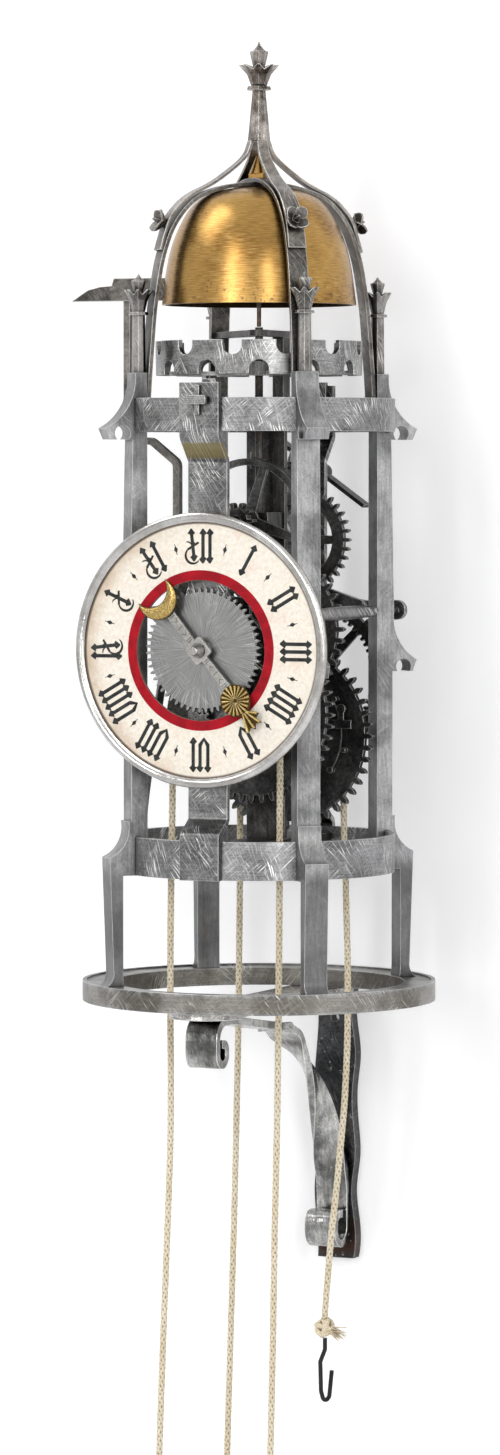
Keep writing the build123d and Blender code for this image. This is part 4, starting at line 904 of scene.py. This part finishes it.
def linenFinish(name, look, knotted):
    material, tree, shader, place = startMaterial(name)
    if knotted:
        fibre = noiseOf(place, look["lint"], 4.0, 0.75)
        # painted shade: grooves in a noise pattern over the knots
        groove = remap(fibre, 0.5, 0.36, 0, 0.8)
    else:
        strand = node(tree, "ShaderNodeUVMap", uv_map="strand").outputs[0]
        fibre = noiseOf(stretched(strand, (14, 160, 1), 8), 1.0, 3.0, 0.7)
        inner = calc("ABSOLUTE", minus(splitXYZ(strand)[1], 0.5))
        # painted shade: the side of each strand that faces the cord's core
        groove = remap(inner, 0.40, 0.22, 0, 0.55)
    fleck = noiseOf(place, look["flecks"], 2.0, 0.6)
    slow = noiseOf(place, look["slow"], 3.0, 0.6)
    tone = blend(remap(slow, 0.35, 0.65), look["tan"], look["pale"])
    tone = blend(remap(fibre, 0.35, 0.7, 0, 0.8), tone, look["fibre"])
    tone = blend(groove, tone, look["groove"])
    tone = blend(remap(fleck, 0.60, 0.70, 0, 0.75), tone, look["fleck"])
    # painted shade: darker where the cord's turns cross and press together
    creaseShade = useGroup(tree, wornEdgeAndShade, Radius=0.0002, Reach=0.0016)["PaintedShade"]
    feedAll(shader, {"Base Color": blend(times(creaseShade, 0.85), tone, look["creaseShade"]), "Roughness": 0.85,
                     "Specular IOR Level": 0.2, "Sheen Weight": 0.25, "Normal": bumpOf(fibre, 0.6, 0.0003)})
    return material


linen = linenFinish("cordLinen", linenLook, False)
knotLinen = linenFinish("knotLinen", linenLook, True)


# the cord's own line: points read from a NURBS spline on the route's points
def lineOf(points):
    data = bpy.data.curves.new("guide", "CURVE")
    data.dimensions = "3D"
    spline = data.splines.new("NURBS")
    spline.points.add(len(points) - 1)
    for target, p in zip(spline.points, points):
        target.co = (*p, 1.0)
    spline.order_u = 3
    spline.use_endpoint_u = True
    spline.resolution_u = 24
    guide = newObject("guide", data)
    bpy.context.view_layer.update()
    mesh = bpy.data.meshes.new_from_object(guide.evaluated_get(bpy.context.evaluated_depsgraph_get()))
    line = [v.co.copy() for v in mesh.vertices]
    bpy.data.meshes.remove(mesh)
    bpy.data.objects.remove(guide)
    if (line[0] - points[0]).length > (line[-1] - points[0]).length:
        line.reverse()
    return line


# the same line in equal steps, and its length
def evenly(line, step):
    far = [0.0]
    for a, b in zip(line, line[1:]):
        far.append(far[-1] + (b - a).length)
    count = max(2, round(far[-1] / step))
    out, i = [], 0
    for k in range(count + 1):
        want = far[-1] * k / count
        while i < len(line) - 2 and far[i + 1] < want:
            i += 1
        share = (want - far[i]) / max(far[i + 1] - far[i], 1e-12)
        out.append(line[i].lerp(line[i + 1], min(max(share, 0), 1)))
    return out, far[-1]


# each point with two directions across the line that turn with it and don't twist
def framesAlong(line):
    side = Vector((0, 1, 0))
    out = []
    for k, p in enumerate(line):
        along = (line[min(k + 1, len(line) - 1)] - line[max(k - 1, 0)]).normalized()
        side = (side - along * side.dot(along)).normalized()
        out.append((p, side, along.cross(side)))
    return out


def outwards(side, up, turn):
    return side * math.cos(turn) + up * math.sin(turn)


def circleOf(centre, side, up, radius, sides, turn=0.0):
    return [centre + outwards(side, up, turn + 2 * math.pi * j / sides) * radius for j in range(sides)]


# strands laid round the line both ways, over and under each other, each a closed tube
def ropeMesh(name, line, length, look):
    frames = framesAlong(line)
    rows, n = len(frames), look["sides"]
    lay = look["radius"] - look["strand"] - look["weave"]
    turns = length * 1000 / look["pitch"]
    grain = length * look["fibres"] / rows
    verts, faces, corners = [], [], []
    for strand in range(2 * look["strands"]):
        way = 1 if strand % 2 else -1
        circles = []
        for k, (p, side, up) in enumerate(frames):
            travel = 2 * math.pi * turns * k / (rows - 1)
            a = 2 * math.pi * (strand // 2) / look["strands"] + way * travel
            out = lay + way * look["weave"] * math.cos(look["strands"] * travel)
            swell = look["strand"] * (1 + 0.07 * math.sin(k * 0.37 + strand * 2.1))
            circles.append(circleOf(p + outwards(side, up, a) * out / 1000, side, up, swell / 1000, n, a))
        closedTube(verts, faces, circles)
        for k in range(rows - 1):
            v0, v1 = k * grain, (k + 1) * grain
            for j in range(n):
                u0, u1 = j / n, (j + 1) / n
                corners += [(v0, u0), (v0, u1), (v1, u1), (v1, u0)]
        corners += [(0, 0)] * (2 * n)
    mesh = meshFrom(name, verts, faces, smooth=True)
    layer = mesh.uv_layers.new(name="strand")
    for corner, uv in zip(layer.data, corners):
        corner.uv = uv
    return mesh


# knots, in millimetres: turns of cord, each with its width, height and tilt, and a frayed tail
knotLook = {"drop": 4.4, "turns": ((3.7, 3.1, 14), (3.5, 2.7, -38), (2.6, 3.6, 66), (3.3, 2.0, 100)),
            "cord": 1.45, "share": 0.985, "steps": 24, "sides": 10, "tuft": 44, "long": (7.8, 2.6),
            "sag": 0.6, "fibre": 0.2, "taper": (2.2, 2.0, 1.5, 1.0, 0.35)}


def tubeAlong(verts, faces, line, radii, sides):
    frames = zip(framesAlong(line), radii)
    closedTube(verts, faces, [circleOf(*frame, radius / 1000, sides) for frame, radius in frames])


# crossing turns of cord and a short frayed tail for each cord end
def knotShape(name, tops, fray, look):
    verts, faces = [], []
    count, last = look["steps"] + 1, len(look["taper"]) - 1
    for number, top in enumerate(tops):
        middle = top - Vector((0, 0, look["drop"] / 1000))
        for index, (wide, tall, tilt) in enumerate(look["turns"]):
            lean = Matrix.Rotation(math.radians(tilt), 3, "Y")
            line = []
            for k in range(count):
                a = 2 * math.pi * k / look["steps"] * look["share"]
                p = Vector((wide * math.cos(a), wide * 0.8 * math.sin(a), tall * math.sin(a + 0.9 * index)))
                line.append(middle + lean @ p / 1000)
            tubeAlong(verts, faces, line, [look["cord"]] * count, look["sides"])
        for k in range(look["tuft"]):
            a = 2.4 * k + fray + number
            way = Vector((1, 0.36 * math.sin(a), 0.34 * math.cos(a * 1.7) - 0.22)).normalized()
            start = middle + Vector((2.2, 1.5 * math.sin(a), 1.4 * math.cos(a) - 1)) / 1000
            long = (look["long"][0] + look["long"][1] * math.sin(3.3 * k + fray)) / 1000
            line = [start + way * long * s / last - Vector((0, 0, look["sag"] / 1000 * (s / last) ** 2))
                    for s in range(last + 1)]
            tubeAlong(verts, faces, line, [look["fibre"] * w for w in look["taper"]], 5)
    return meshFrom(name, verts, faces, smooth=True)


for name, route in cordRoutes.items():
    flat = route["left"] + wrapPoints(route["height"]) + route["right"]
    points = [atClock(x, route["y"], z) for x, z in flat]
    line, length = evenly(lineOf(points), cordLook["step"] / 1000)
    rope = addObject(name, ropeMesh(name, line, length, cordLook), "frame", linen)
    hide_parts(route["node"])
    mesh = knotShape(name + "_knot", (points[0], points[-1]), route["fray"], knotLook)
    knots = addObject(name.replace("rope", "knots"), mesh, "frame", knotLinen)
    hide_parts("cord_knots")
    print(name, "length", round(length, 4))
print("cords hung")

# wall and floor
stageLook = {"colour": (0.80, 0.80, 0.81), "glow": 0.34, "floorDrop": 0.26, "wide": 4.0, "wallY": 0.0003}


# what the camera, or metal that mirrors the room, looks at directly
def seenStraight(tree):
    path = node(tree, "ShaderNodeLightPath").outputs
    mirrored = calc("MAXIMUM", path["Is Glossy Ray"], path["Is Transmission Ray"])
    return calc("MAXIMUM", path["Is Camera Ray"], mirrored)


# pale matt paint that the camera and the metal see as white, and that keeps soft shadows
def stageFinish(name, look):
    material = bpy.data.materials.new(name)
    tree = startTree(material)
    matt, light = node(tree, "ShaderNodeBsdfDiffuse"), node(tree, "ShaderNodeEmission")
    feed(matt.inputs["Color"], look["colour"])
    feed(light.inputs["Strength"], times(seenStraight(tree), look["glow"]))
    both = fed("ShaderNodeAddShader", matt.outputs[0], light.outputs[0])[0]
    back = node(tree, "ShaderNodeNewGeometry").outputs["Backfacing"]
    pick = fed("ShaderNodeMixShader", back, both, node(tree, "ShaderNodeBsdfTransparent").outputs[0])[0]
    feed(node(tree, "ShaderNodeOutputMaterial").inputs["Surface"], pick)
    return material


def sheet(name, corners, material):
    return addObject(name, meshFrom(name, corners, [(0, 1, 2, 3)]), None, material)


pale = stageFinish("palePaint", stageLook)
w, y, z = stageLook["wide"], stageLook["wallY"], -stageLook["floorDrop"]
wall = sheet("wall", [(-w, y, z), (w, y, z), (w, y, w), (-w, y, w)], pale)
floor = sheet("floor", [(-w, -2 * w, z), (w, -2 * w, z), (w, w, z), (-w, w, z)], pale)

# lamps: each turned round the clock's axis, so many metres from it, and aimed at its middle
lampLooks = {
    "keyLamp": {"turn": -9, "far": 2.5, "height": 1.15, "size": (0.42, 1.7), "power": 19.0},
    "frontLamp": {"turn": 5, "far": 2.5, "height": 0.9, "size": (0.22, 1.5), "power": 4.0},
    "sideLamp": {"turn": 36, "far": 2.4, "height": 0.75, "size": (0.26, 1.4), "power": 12.0},
    "fillLamp": {"turn": 66, "far": 2.1, "height": 0.6, "size": (0.4, 1.5), "power": 3.0},
    "topLamp": {"turn": -60, "far": 1.6, "height": 2.1, "size": (1.0, 1.0), "power": 15.0},
}
lampAim = Vector((0, axisY, 0.32))
for name, look in lampLooks.items():
    data = bpy.data.lights.new(name, "AREA")
    data.shape = "RECTANGLE"
    data.size, data.size_y = look["size"]
    data.energy = look["power"]
    lamp = newObject(name, data)
    turn = math.radians(look["turn"])
    lamp.location = (math.sin(turn) * look["far"], axisY - math.cos(turn) * look["far"], look["height"])
    aim(lamp, lampAim - lamp.location)

# the room's own light: white where it is seen, softer on matt surfaces
roomLook = {"soft": 0.42, "white": 1.0}
room = bpy.data.worlds.new("studio")
bpy.context.scene.world = room
roomTree = startTree(room)
roomLight = node(roomTree, "ShaderNodeBackground")
shine = remap(seenStraight(roomTree), 0, 1, roomLook["soft"], roomLook["white"])
feedAll(roomLight.inputs, {"Color": (1.0, 1.0, 1.0), "Strength": shine})
feed(node(roomTree, "ShaderNodeOutputWorld").inputs["Surface"], roomLight.outputs[0])
bpy.context.scene.view_settings.view_transform = "Standard"
print("stage and lamps set")


nodeGap = (220, 240)


# stands each shader node in a column to the left of what it feeds
def setOut(tree):
    column = {made.name: 0 for made in tree.nodes}
    moved = True
    while moved:
        moved = False
        for link in tree.links:
            left, right = link.from_node.name, link.to_node.name
            if column[left] <= column[right]:
                column[left] = column[right] + 1
                moved = True
    rows = {}
    for made in tree.nodes:
        far = column[made.name]
        rows[far] = rows.get(far, 0) + 1
        made.location = (-nodeGap[0] * far, -nodeGap[1] * rows[far])


for tree in ownTrees:
    setOut(tree)
print("shader trees set out:", len(ownTrees))
